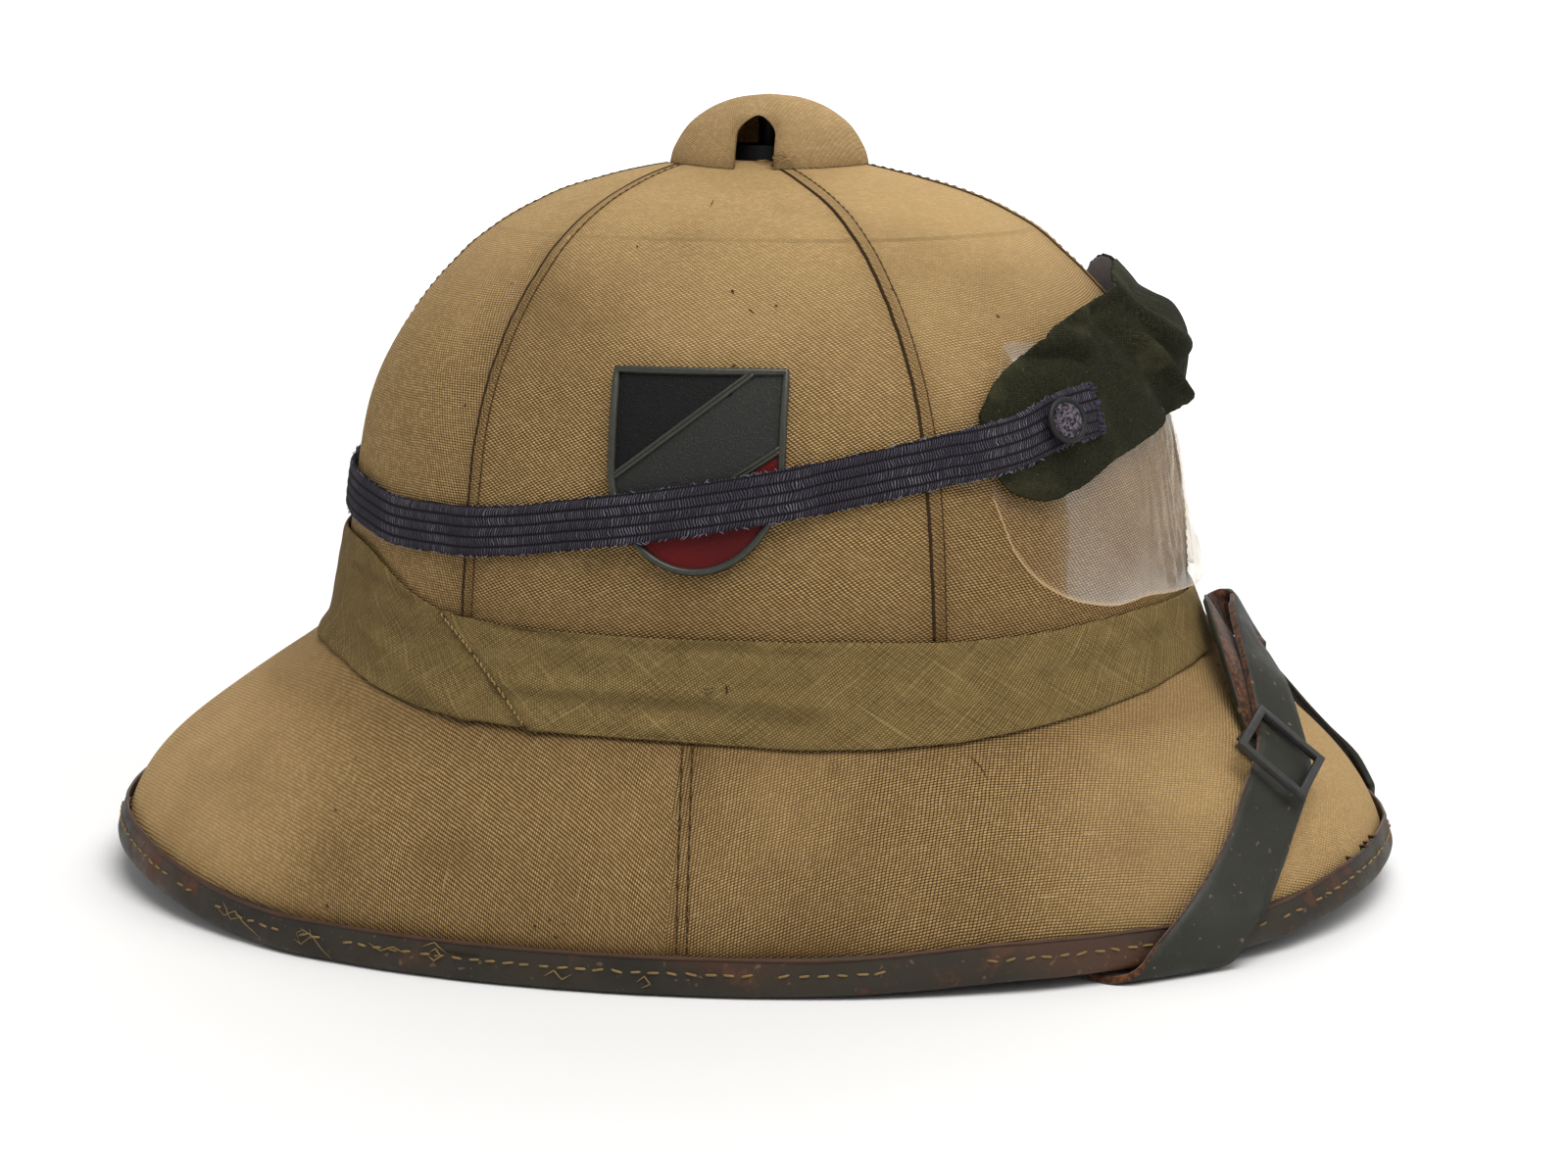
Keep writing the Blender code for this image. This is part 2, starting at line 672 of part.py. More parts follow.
def build_vent():
    """Tube in the crown's hole, with a flange below, and a post that carries the cap."""
    centre = Vector((CROWN_AHEAD + CAP_AHEAD, 0.0, 0.0))
    radius = VENT_HOLE / 2 - CLEARANCE
    flange = VENT_HOLE / 2 + VENT_FLANGE
    edge_height = min(crown_height(centre.x + flange, 0.0), crown_height(centre.x - flange, 0.0),
                      crown_height(centre.x, flange))
    flange_top = edge_height - SHELL_WALL - 3 * CLEARANCE
    top = CROWN_FOOT + CROWN_RISE + VENT_TUBE_ABOVE
    bore = radius - VENT_TUBE_WALL
    bottom = flange_top - VENT_FLANGE_THICK
    profile = ((bore, bottom), (flange, bottom), (flange, flange_top), (radius, flange_top), (radius, top), (bore, top))
    vent = turned("vent_tube", profile, centre, CAP_SEGMENTS, "black")
    reach = (bore + radius) / 2
    bar = box_object("vent_bar", (centre.x - reach, -VENT_BAR / 2, bottom + VENT_FLANGE_THICK / 4),
                     (centre.x + reach, VENT_BAR / 2, flange_top - VENT_FLANGE_THICK / 4), "black")
    apply_boolean(vent, bar, "UNION")
    ceiling = CROWN_FOOT + CROWN_RISE - CAP_SINK + CAP_HEIGHT - CAP_WALL
    stem = ((VENT_POST / 2, bottom + VENT_FLANGE_THICK / 3), (VENT_POST / 2, ceiling - 2 * CLEARANCE))
    data = bmesh.new()
    bmesh.ops.create_cone(data, cap_ends=True, segments=12, radius1=stem[0][0], radius2=stem[1][0],
                          depth=stem[1][1] - stem[0][1])
    bmesh.ops.translate(data, verts=data.verts, vec=centre + Vector((0.0, 0.0, (stem[0][1] + stem[1][1]) / 2)))
    apply_boolean(vent, make_object("vent_post", data, "black"), "UNION")
    return vent


def shield_outline():
    """Heater shield in its own plane: straight top and shoulders, sides curving to a point."""
    half, height = BADGE_WIDTH / 2, BADGE_HEIGHT
    straight = 0.48 * height
    sides = [(half, height / 2), (half, height / 2 - straight)]
    curve = height - straight
    for a in (math.radians(angle) for angle in (18, 36, 54, 72)):
        sides.append((half * math.cos(a), height / 2 - straight - curve * math.sin(a)))
    point = (0.0, -height / 2)
    left = [(-x, y) for x, y in reversed(sides)]
    return sides + [point] + left


def rib_lines():
    """A point of each rib's middle line, and the direction square to it."""
    lines = []
    for start, stop in BADGE_RIBS:
        left = Vector((-BADGE_WIDTH / 2, BADGE_HEIGHT * (0.5 - start), 0.0))
        right = Vector((BADGE_WIDTH / 2, BADGE_HEIGHT * (0.5 - stop), 0.0))
        lines.append((left, Vector((left.y - right.y, right.x - left.x, 0.0)).normalized()))
    return lines


def build_badge():
    """Cast shield with a raised rim and two diagonal ribs, curved to lie on the crown."""
    data = bmesh.new()
    outline = shield_outline()
    top_z = BADGE_PLATE + BADGE_RELIEF
    front = [data.verts.new((x, y, top_z)) for x, y in outline]
    back = [data.verts.new((x, y, 0.0)) for x, y in outline]
    face = data.faces.new(front)
    data.faces.new(back[::-1])
    for k in range(len(outline)):
        after = (k + 1) % len(outline)
        data.faces.new((front[k], back[k], back[after], front[after]))
    bmesh.ops.recalc_face_normals(data, faces=data.faces)
    bmesh.ops.inset_region(data, faces=[face], thickness=BADGE_RIM, use_even_offset=True)
    fields = [face]
    lines = rib_lines()
    for left, across in lines:
        for shift in (-BADGE_RIB / 2, BADGE_RIB / 2):
            edges = {edge for field in fields for edge in field.edges}
            cut = bmesh.ops.bisect_plane(data, geom=fields + list(edges), plane_co=left + across * shift,
                                         plane_no=across)
            fields = list({item for item in cut["geom"] if isinstance(item, bmesh.types.BMFace)})
    for field in fields:
        middle = field.calc_center_median()
        middle.z = 0.0
        if min(abs((middle - left).dot(across)) for left, across in lines) > BADGE_RIB / 2:
            sunk = bmesh.ops.extrude_face_region(data, geom=[field])
            moved = [item for item in sunk["geom"] if isinstance(item, bmesh.types.BMVert)]
            bmesh.ops.translate(data, verts=moved, vec=(0.0, 0.0, -BADGE_RELIEF))
            if field.is_valid:
                bmesh.ops.delete(data, geom=[field], context="FACES_ONLY")
    for axis in (Vector((1, 0, 0)), Vector((0, 1, 0))):
        reach = int(BADGE_HEIGHT / 2 / BADGE_TILE) + 1
        for k in range(-reach, reach + 1):
            geom = list(data.verts) + list(data.edges) + list(data.faces)
            bmesh.ops.bisect_plane(data, geom=geom, plane_co=axis * (k * BADGE_TILE), plane_no=axis)
    scale = arc_scale(BADGE_TURN, crown_reach(BADGE_RISE))
    for vert in data.verts:
        turn = BADGE_TURN + vert.co.x / scale
        rise = BADGE_RISE + vert.co.y / CROWN_RISE * 0.985
        vert.co = crown_point(turn, rise, CLEARANCE + vert.co.z)
    return make_object("badge", data, "enamel")


def side_turn(side, turn):
    """A turn on the wearer's left for side 1, or on the right for side -1."""
    return side * turn


def table_rows(table, column):
    return curve_through([(row[0], row[column]) for row in table])


def build_lens(side, name):
    """Thin clear sheet on the crown, from under the goggles' cloth down to the band."""
    low, high, stand = (table_rows(LENS_SECTIONS, column) for column in (1, 2, 3))
    start, stop = LENS_SECTIONS[0][0], LENS_SECTIONS[-1][0]
    turns = [start + (stop - start) * k / LENS_COLUMNS for k in range(LENS_COLUMNS + 1)]
    grids = []
    for extra in (0.0, LENS_THICK):
        grid = []
        for share in LENS_ROWS:
            row = []
            for turn in turns:
                rise = low(turn) + (high(turn) - low(turn)) * share
                off = max(LENS_STAND, stand(turn) * (1.0 - min(share / 0.3, 1.0)))
                row.append(crown_point(side_turn(side, turn), rise, off + extra))
            grid.append(row)
        grids.append(grid)
    return sheet_solid(name, grids[0], grids[1], "clear")


def cloth_stand(turn, share):
    """How far the cloth's inner face stands off the crown."""
    lower, middle, upper = (table_rows(CLOTH_SECTIONS, column)(abs(turn)) for column in (3, 4, 5))
    lens_room = LENS_STAND + LENS_THICK + 1.5 * CLEARANCE
    stand = lower + (middle - lower) * smooth_step(0.0, 0.6, share) + (upper - middle) * smooth_step(0.6, 1.0, share)
    return max(stand, lens_room)


def build_cloth():
    """Goggle cloth round the front, lying on the crown at both ends and standing off between."""
    low, high = (table_rows(CLOTH_SECTIONS, column) for column in (1, 2))
    turns = [GOGGLE_END * (2.0 * k / CLOTH_COLUMNS - 1.0) for k in range(CLOTH_COLUMNS + 1)]
    grids = []
    for extra in (0.0, CLOTH_THICK):
        grid = []
        for share in CLOTH_ROWS:
            row = []
            for turn in turns:
                side = abs(turn)
                rise = low(side) + (high(side) - low(side)) * share
                row.append(crown_point(turn, rise, cloth_stand(turn, share) + extra))
            grid.append(row)
        grids.append(grid)
    return sheet_solid("goggle_cloth", grids[0], grids[1], "olive")


def elastic_stand(turn, rise):
    """How far the elastic stands off the crown: over seams, the shield and the cloth."""
    resting = CLEARANCE * 1.5
    over_seam = WELT_HEIGHT + CLEARANCE * 1.5
    low, high = (table_rows(CLOTH_SECTIONS, column)(abs(turn)) for column in (1, 2))
    share = min(max((rise - low) / (high - low), 0.0), 1.0)
    over_cloth = cloth_stand(turn, share) + CLOTH_THICK + 2 * CLEARANCE
    over_badge = BADGE_PLATE + BADGE_RELIEF + 3 * CLEARANCE
    seam_away = min(abs((turn - seam + 180.0) % 360.0 - 180.0) for seam in SEAM_TURNS)
    half = BADGE_WIDTH / 2 / arc_scale(BADGE_TURN, crown_reach(rise))
    rests = (
        (over_seam, seam_away - 2.0, 6.0),
        (over_cloth, abs(turn) - GOGGLE_END - 1.0, 8.0),
        (over_badge, abs(turn - BADGE_TURN) - half - 0.8, 6.0),
    )
    return max(resting + (height - resting) * (1.0 - smooth_step(0.0, ease, away)) for height, away, ease in rests)


def elastic_turns():
    """From the right-hand end round the back to the left-hand end."""
    start = ELASTIC_ROUTE[0][0]
    count = round((360.0 - 2 * start) / ELASTIC_STEP)
    return [-start - (360.0 - 2 * start) * k / count for k in range(count + 1)]


def build_elastic():
    """Woven elastic round the back of the crown, from one end of the goggles to the other."""
    height = curve_through(ELASTIC_ROUTE)
    grids = []
    for extra in (0.0, ELASTIC_THICK):
        grid = []
        for across in (-0.5, 0.5):
            row = []
            for turn in elastic_turns():
                near = (turn + 180.0) % 360.0 - 180.0
                rise = height(abs(near)) + across * ELASTIC_WIDTH / CROWN_RISE
                row.append(crown_point(turn, rise, elastic_stand(near, rise) + extra))
            grid.append(row)
        grids.append(grid)
    return sheet_solid("goggle_elastic", grids[0], grids[1], "elastic")


def build_ring(side, name):
    """Small ring that fastens the elastic's end to the cloth."""
    rise = curve_through(ELASTIC_ROUTE)(RING_TURN)
    turn = side_turn(side, RING_TURN)
    off = elastic_stand(turn, rise) + ELASTIC_THICK + 1.5 * CLEARANCE + RING_WIRE / 2
    centre = crown_point(turn, rise, off)
    normal = (centre - crown_point(turn, rise, 0.0)).normalized()
    level = Vector((0.0, 0.0, 1.0)).cross(normal).normalized()
    rising = normal.cross(level)
    major, minor = (RING_DIAMETER - RING_WIRE) / 2, RING_WIRE / 2
    sections = []
    for k in range(RING_SEGMENTS):
        a = 2.0 * math.pi * k / RING_SEGMENTS
        out = level * math.cos(a) + rising * math.sin(a)
        sections.append([centre + out * (major + minor * math.cos(b)) + normal * minor * math.sin(b)
                         for b in (math.pi * m / 3 for m in range(6))])
    return ring_solid(name, sections, "black")


def slant_steps(turn, inner):
    """Points down one face of the brim with the length run from the rim to each."""
    steps, length, before = [], 0.0, None
    for k in range(21):
        run = 1.0 - k / 20
        spot = brim_point(turn, run, -SHELL_WALL if inner else 0.0)
        length += (spot - before).length if before else 0.0
        steps.append((length, run))
        before = spot
    return steps


def run_above_rim(turn, length, inner=False):
    """The brim's run at a length up from the rim."""
    steps = slant_steps(turn, inner)
    for (l0, r0), (l1, r1) in zip(steps, steps[1:]):
        if length <= l1:
            return r0 + (r1 - r0) * (length - l0) / (l1 - l0)
    return 0.0


def strap_spot(turn, climb, stand):
    """A point over the shell, a length up from below the rim, outside or, below 0, inside."""
    thick = (rim_edge(turn) - brim_inner_edge(turn)).length
    wide = thick / 2 + BINDING_LEATHER + BINDING_ROLL + 3 * CLEARANCE
    deep = 2 * (BINDING_LEATHER + CLEARANCE) + 2 * CLEARANCE
    half_wrap = math.pi / 4 * (wide + deep)
    if abs(climb) <= half_wrap:
        swing = math.pi / 2 * climb / half_wrap
        side = math.copysign(abs(math.sin(swing)) ** STRAP_BEND_SQUARENESS, climb)
        drop = abs(math.cos(swing)) ** STRAP_BEND_SQUARENESS
        middle = (rim_edge(turn) + brim_inner_edge(turn)) / 2
        middle.z = rim_lift(middle.x) + 2 * (BINDING_LEATHER + CLEARANCE)
        return middle + outward(turn) * side * (wide + stand) - Vector((0.0, 0.0, drop * (deep + stand)))
    inner = climb < 0.0
    length = abs(climb) - half_wrap + BINDING_LEATHER
    stand += (wide - thick / 2) * (1.0 - smooth_step(BINDING_DEPTH, STRAP_OFF_BINDING * BINDING_DEPTH, length))
    slant = slant_steps(turn, inner)[-1][0]
    if inner and length > slant:
        return crown_point(turn, (length - slant) / CROWN_RISE, -SHELL_WALL - stand)
    run = run_above_rim(turn, length, inner)
    return brim_point(turn, run, -SHELL_WALL - stand if inner else stand)


def strap_section(turn, climb, stand, heading, aside=0.0, thick=STRAP_THICK):
    """Inner and outer points across the strap, square to its heading on the shell.

    Where the strap bends round the rim its sections lie along the rim instead.
    """
    step = (strap_spot(turn + 0.5, climb, stand) - strap_spot(turn - 0.5, climb, stand)).length
    along = Vector((heading[0] * step, heading[1])).normalized()
    square = Vector((-along.y, along.x))
    bend = 1.0 - smooth_step(STRAP_BEND, STRAP_BEND_EASE * STRAP_BEND, abs(climb))
    level = Vector((math.copysign(1.0, square.x), 0.0))
    row = square.lerp(level, bend).normalized()
    row /= row.dot(square)
    section = []
    for lift in (stand, stand + thick):
        for share in STRAP_COLUMNS:
            off = row * (aside + share * STRAP_WIDTH)
            section.append(strap_spot(turn + off.x / step, climb + off.y, lift))
    return section


def smooth_rows(rows, steps):
    """Catmull-Rom curve through rows of numbers or vectors."""
    result = []
    for k in range(len(rows) - 1):
        before, here = rows[max(k - 1, 0)], rows[k]
        after, later = rows[k + 1], rows[min(k + 2, len(rows) - 1)]
        for s in range(steps):
            t = s / steps
            result.append([b + (c - a) * (t / 2) + (2 * a - 5 * b + 4 * c - d) * (t * t / 2)
                           + (3 * b - 3 * c + d - a) * (t * t * t / 2)
                           for a, b, c, d in zip(before, here, after, later)])
    result.append(list(rows[-1]))
    return result


def strap_slant():
    return slant_steps(RIGHT_ROUTE[-1][0], False)[-1][0]


def strap_path(route):
    """The strap's route with points a pitch apart, closer together round the rim."""
    slant = strap_slant()
    fine = smooth_rows([(turn, climb * slant, stand) for turn, climb, stand in route], 12)
    path, travelled = [fine[0]], 0.0
    for before, here in zip(fine, fine[1:]):
        step = math.hypot(here[1] - before[1], (here[0] - before[0]) * RIM_WIDTH * TURN_SHARE)
        travelled += step
        pitch = STRAP_WRAP_PITCH if abs(here[1]) < STRAP_BEND else STRAP_PITCH
        if abs(here[0] - BUCKLE_TURN) < STRAP_HUMP_REACH:
            pitch = min(pitch, STRAP_HUMP_PITCH)
        if travelled >= pitch:
            path.append(here)
            travelled = 0.0
    if path[-1] is not fine[-1]:
        path[-1] = fine[-1]
    return path


def strap_rows(route, buckled):
    """Sections from the anchor inside the crown, round the rim and up to the front."""
    path = strap_path(route)
    rows = []
    for k, (turn, climb, stand) in enumerate(path):
        before, after = path[max(k - 1, 0)], path[min(k + 1, len(path) - 1)]
        heading = (before[0] - after[0], after[1] - before[1])
        if buckled:
            stand += STRAP_HUMP * max(0.0, 1.0 - abs(turn - BUCKLE_TURN) / STRAP_HUMP_SPAN)
        rows.append(strap_section(-turn, climb, stand, heading))
    return rows


def crest_centre(across):
    """Middle of the strap's inner face where it rides over the front."""
    foot = crown_point(0.0, 0.0)
    fall = math.hypot(across, CREST_ROUND) - CREST_ROUND
    return Vector((foot.x + CREST_AHEAD + fall * CREST_SPREAD, across, foot.z + CREST_ABOVE - fall * CREST_FALL))


def crest_section(across, behind=0.0, back=0.0, aside=0.0, thick=STRAP_THICK):
    """Section of the strap where it stands on its edge; across is positive to the left."""
    share = across / CREST_STATIONS[0]
    lean, lie = math.radians(CREST_LEAN - CREST_LEAN_EASE * abs(share)), math.radians(CREST_LIE * share)
    normal = Vector((math.sin(lean) * math.cos(lie), math.sin(lean) * math.sin(lie), math.cos(lean)))
    heading = (crest_centre(across + 0.001) - crest_centre(across - 0.001)).normalized()
    upper = normal.cross(heading).normalized()
    square = heading.cross(upper).normalized()
    centre = crest_centre(across) - square * behind - Vector((back, 0.0, 0.0))
    section = []
    for lift in (0.0, thick):
        for share in STRAP_COLUMNS:
            section.append(centre + upper * (aside + share * STRAP_WIDTH) + square * lift)
    return section


def mirrored(rows):
    return [[Vector((spot.x, -spot.y, spot.z)) for spot in row] for row in rows]


def ribbon_solid(name, rows, finish):
    """A flat strap through sections of inner points and as many outer points."""
    count = len(STRAP_COLUMNS)
    return sheet_solid(name, [row[:count] for row in rows], [row[count:] for row in rows], finish)


def build_strap():
    """One strap from anchor to anchor, up and over the front of the brim."""
    right, left = strap_rows(RIGHT_ROUTE, True), mirrored(strap_rows(LEFT_ROUTE, False))
    stations = [crest_section(-across) for across in CREST_STATIONS]
    crest = stations + mirrored(stations[1:-1])[::-1]
    over = smooth_rows([right[-1]] + crest + [left[-1]], 2)
    return ribbon_solid("chin_strap", right[:-1] + over + left[:-1][::-1], "leather")


def build_tail():
    """The strap's end, folded back under it from the buckle to the front."""
    behind = TAIL_THICK + CLEARANCE
    climb = strap_slant() * TAIL_CLIMB
    rows = [strap_section(-TAIL_START, climb, CLEARANCE * 2, TAIL_HEADING, TAIL_ASIDE, TAIL_THICK)]
    for across in CREST_STATIONS:
        share = across / CREST_STATIONS[0]
        aside = TAIL_END_ASIDE + (TAIL_ASIDE - TAIL_END_ASIDE) * share
        rows.append(crest_section(-across, behind, TAIL_BACK * (1.0 - share), aside, TAIL_THICK))
    return ribbon_solid("strap_tail", smooth_rows(rows, 2), "leather")


def buckle_frame():
    """Centre of the buckle on the brim, and directions along the strap, across it and out."""
    turn, climb = -BUCKLE_TURN, BUCKLE_CLIMB * strap_slant()
    centre = strap_spot(turn, climb, 0.0)
    out = (strap_spot(turn, climb, 0.001) - centre).normalized()
    rows = [row for row in strap_path(RIGHT_ROUTE) if abs(row[0] - BUCKLE_TURN) < 5.0]
    along = strap_spot(-rows[-1][0], rows[-1][1], 0.0) - strap_spot(-rows[0][0], rows[0][1], 0.0)
    across = out.cross(along).normalized()
    return centre, across.cross(out).normalized(), across, out


def framed_box(name, low, high):
    """A box in the buckle's own directions."""
    centre, along, across, out = buckle_frame()
    item = box_object(name, low, high, "steel")
    for vert in item.data.vertices:
        spot = vert.co.copy()
        vert.co = centre + along * spot.x + across * spot.y + out * spot.z
    return item


def build_buckle():
    """Slide with a frame over the strap and a bar below it."""
    half_long = BUCKLE_LENGTH / 2
    half_wide = STRAP_WIDTH / 2 + BUCKLE_SIDE_ROOM + BUCKLE_BAR
    seat = RIGHT_ROUTE[-1][2] + STRAP_THICK + 2 * CLEARANCE
    top = seat + BUCKLE_THICK
    centre, along, across, out = buckle_frame()
    sections = []
    for x, y in ((1, 1), (-1, 1), (-1, -1), (1, -1)):
        section = []
        for inset, z in ((BUCKLE_BAR, seat), (0.0, seat), (0.0, top), (BUCKLE_BAR, top)):
            section.append(centre + along * (x * (half_long - inset)) + across * (y * (half_wide - inset)) + out * z)
        sections.append(section)
    buckle = ring_solid("strap_buckle", sections, "steel")
    bar_top = RIGHT_ROUTE[-2][2] + STRAP_HUMP - 3 * CLEARANCE
    pin = (BUCKLE_BAR * 0.6, half_wide)
    bar = framed_box("bar", (-pin[0], -pin[1], bar_top - BUCKLE_THICK / 2), (pin[0], pin[1], bar_top))
    apply_boolean(buckle, bar, "UNION")
    for y in (-1, 1):
        inner, outer = half_wide - BUCKLE_BAR * 0.8, half_wide - BUCKLE_BAR * 0.1
        low, high = (inner, outer) if y > 0 else (-outer, -inner)
        post = framed_box("post", (-pin[0] * 0.9, low, bar_top - BUCKLE_THICK / 4),
                          (pin[0] * 0.9, high, seat + BUCKLE_THICK / 2))
        apply_boolean(buckle, post, "UNION")
    return buckle


def build_rivet(side, name):
    """Plain rivet head that holds the strap's end inside the crown."""
    (turn, climb, stand), (after, climb_after, _) = (RIGHT_ROUTE if side < 0 else LEFT_ROUTE)[:2]
    length = (climb + climb_after) / 2 * strap_slant()
    lift = stand + STRAP_THICK + 2 * CLEARANCE
    turn = side * (turn + after) / 2
    centre = strap_spot(turn, length, lift)
    out = (strap_spot(turn, length, lift + 0.001) - centre).normalized()
    level = Vector((0.0, 0.0, 1.0)).cross(out).normalized()
    rising = out.cross(level)
    data = bmesh.new()
    rings = []
    for share, up in ((1.0, 0.0), (1.0, 0.5), (0.6, 1.0)):
        rings.append([data.verts.new(centre + (level * math.cos(a) + rising * math.sin(a)) * RIVET_HEAD / 2 * share
                                     + out * RIVET_THICK * up) for a in (math.pi * k / 6 for k in range(12))])
    data.faces.new(rings[0])
    data.faces.new(rings[2][::-1])
    for low, high in zip(rings, rings[1:]):
        for k in range(12):
            after = (k + 1) % 12
            data.faces.new((low[k], low[after], high[after], high[k]))
    return make_object(name, data, "steel")


def main():
    clear_scene()
    build_crown()
    build_brim()
    build_binding()
    build_band()
    build_cap()
    build_vent()
    build_badge()
    build_lens(-1, "goggle_lens_right")
    build_lens(1, "goggle_lens_left")
    build_cloth()
    build_elastic()
    build_ring(-1, "goggle_ring_right")
    build_ring(1, "goggle_ring_left")
    build_strap()
    build_tail()
    build_buckle()
    build_rivet(-1, "strap_rivet_right")
    build_rivet(1, "strap_rivet_left")


main()
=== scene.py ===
import math
import random

import bpy
import numpy as np
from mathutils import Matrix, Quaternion, Vector, noise
from mathutils.bvhtree import BVHTree


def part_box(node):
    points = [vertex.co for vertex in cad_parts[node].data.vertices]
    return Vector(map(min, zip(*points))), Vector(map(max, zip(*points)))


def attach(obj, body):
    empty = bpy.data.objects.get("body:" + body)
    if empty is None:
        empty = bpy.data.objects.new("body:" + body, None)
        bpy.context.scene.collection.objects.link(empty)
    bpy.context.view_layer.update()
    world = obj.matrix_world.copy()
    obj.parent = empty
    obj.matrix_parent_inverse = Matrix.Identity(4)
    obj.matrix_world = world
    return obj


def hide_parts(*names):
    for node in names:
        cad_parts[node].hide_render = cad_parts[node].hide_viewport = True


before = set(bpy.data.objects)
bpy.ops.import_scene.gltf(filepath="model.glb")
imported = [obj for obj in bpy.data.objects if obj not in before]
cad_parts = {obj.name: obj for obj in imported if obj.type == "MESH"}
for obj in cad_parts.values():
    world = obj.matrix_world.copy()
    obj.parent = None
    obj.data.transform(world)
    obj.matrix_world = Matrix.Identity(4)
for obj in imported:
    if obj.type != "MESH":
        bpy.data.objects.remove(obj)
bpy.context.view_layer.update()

# Pith helmet with dust goggles.  Metres, +Z up, front +X, wearer's left +Y.
# Turns are degrees from the front, positive to the left, and rises are shares of the
# crown's height.  The photograph is seen from the wearer's right.

MM = 0.001
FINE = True

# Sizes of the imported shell
CROWN_AHEAD = 0.0042
CROWN_HALF = (0.110, 0.092)
CROWN_FOOT = 0.066
CROWN_RISE = 0.118
RIM_HALF = (0.1668, 0.1312)
RIM_FULLNESS = 2.08
SEAM_TURNS = (-180, -123, -60, 0, 60, 123)
SEAM_PULL = 0.0094
CAP_CENTRE = 0.0055
CAP_RADIUS = 0.0255
CAP_TOP = 0.1995
CAP_WALL = 0.002
ARCH_HALF = 0.0050
ARCH_TOP = 0.1947
ELASTIC_WIDTH = 0.0122
ELASTIC_THICK = 0.0009
ELASTIC_GAP = 0.0005
RIM_TIP = 0.1686
BRIM_EDGE_TOP = 0.0095
STRAP_FRONT = 0.11

# Width and height of one thread float in each weave
CANVAS_PITCH = (0.00098, 0.00064)
BAND_PITCH = (0.00062, 0.00062)
GOGGLE_PITCH = (0.00045, 0.00045)
BAND_LINE_PITCH = 0.00118
ELASTIC_THREAD_PITCH = 0.00062

# Stitch lengths, from the start of one to the start of the next
SEAM_STITCH = 0.0024
JOIN_STITCH = 0.0021
BINDING_STITCH = 0.0043

# Share of the crown's rise, and its reach as a share of the foot's half axes
CROWN_PROFILE = (
    (0.0, 1.010), (0.110, 0.999), (0.263, 0.982), (0.373, 0.964), (0.487, 0.937), (0.598, 0.885),
    (0.708, 0.801), (0.819, 0.679), (0.873, 0.593), (0.927, 0.474), (0.975, 0.297), (0.990, 0.200),
    (1.0, 0.060),
)

# The photograph's camera
CAMERA_AT = (0.1400, -0.8255, 0.2189)
CAMERA_TURN = 9.0
CAMERA_TILT = 10.0
CAMERA_LENS = 74.33
PHOTO_SIZE = (1600, 1200)


def linear(red, green, blue):
    """A colour given in display values from 0 to 255."""
    shares = [value / 255.0 for value in (red, green, blue)]
    return tuple(s / 12.92 if s <= 0.04045 else ((s + 0.055) / 1.055) ** 2.4 for s in shares) + (1.0,)


def shaded(colour, share):
    """The same colour, lighter or darker."""
    return [min(c * share, 1.0) for c in colour[:3]] + [1.0]


def smooth_step(low, high, value):
    share = min(max((value - low) / (high - low), 0.0), 1.0)
    return share * share * (3.0 - 2.0 * share)


def hill(value, centre, width):
    """A smooth rise to 1 at a centre."""
    return math.exp(-((value - centre) / width) ** 2)


def curve_through(points):
    """A smooth function through (x, y) points with rising x, without overshoot."""
    slopes = [(b[1] - a[1]) / (b[0] - a[0]) for a, b in zip(points, points[1:])]
    tangents = [slopes[0]]
    for before, after in zip(slopes, slopes[1:]):
        flat = before * after <= 0.0
        tangents.append(0.0 if flat else 2.0 * before * after / (before + after))
    tangents.append(slopes[-1])

    def value(x):
        last = len(points) - 2
        k = 0
        while k < last and x > points[k + 1][0]:
            k += 1
        (x0, y0), (x1, y1) = points[k], points[k + 1]
        span = x1 - x0
        s = min(max((x - x0) / span, 0.0), 1.0)
        return (y0 * (1 + 2 * s) * (1 - s) ** 2 + y1 * s * s * (3 - 2 * s)
                + span * (tangents[k] * s * (1 - s) ** 2 - tangents[k + 1] * s * s * (1 - s)))

    return value


crown_reach = curve_through(CROWN_PROFILE)
crown_share = curve_through([(reach, rise) for rise, reach in reversed(CROWN_PROFILE)])


def crown_point(turn, rise, out=0.0):
    """A point of the crown's outer face, or a height above it."""
    a = math.radians(turn)
    reach = crown_reach(rise)
    spot = Vector((CROWN_AHEAD + CROWN_HALF[0] * reach * math.cos(a), CROWN_HALF[1] * reach * math.sin(a),
                   CROWN_FOOT + CROWN_RISE * rise))
    return spot + crown_normal(turn, rise) * out if out else spot


def crown_normal(turn, rise):
    a = math.radians(turn)
    low, high = max(rise - 0.02, 0.0), min(rise + 0.02, 1.0)
    lean = (crown_reach(high) - crown_reach(low)) / (high - low) / CROWN_RISE
    return Vector((math.cos(a) / CROWN_HALF[0], math.sin(a) / CROWN_HALF[1], -lean)).normalized()


def arc_scale(turn, rise):
    """Metres along the crown's section for one degree of turn."""
    a = math.radians(turn)
    across = math.hypot(CROWN_HALF[0] * math.sin(a), CROWN_HALF[1] * math.cos(a))
    return crown_reach(rise) * across * math.radians(1.0)


def seam_turn(seam, rise):
    """Turn of a crown seam at a rise; the side seams lean back towards the cap."""
    reach = crown_reach(rise)
    pull = SEAM_PULL * math.sin(math.radians(seam)) * (1.0 - reach) / (reach * CROWN_HALF[0])
    return seam + math.degrees(math.asin(min(max(pull, -0.5), 0.5)))


def spot_turn(spot):
    return math.degrees(math.atan2(spot.y / CROWN_HALF[1], (spot.x - CROWN_AHEAD) / CROWN_HALF[0]))


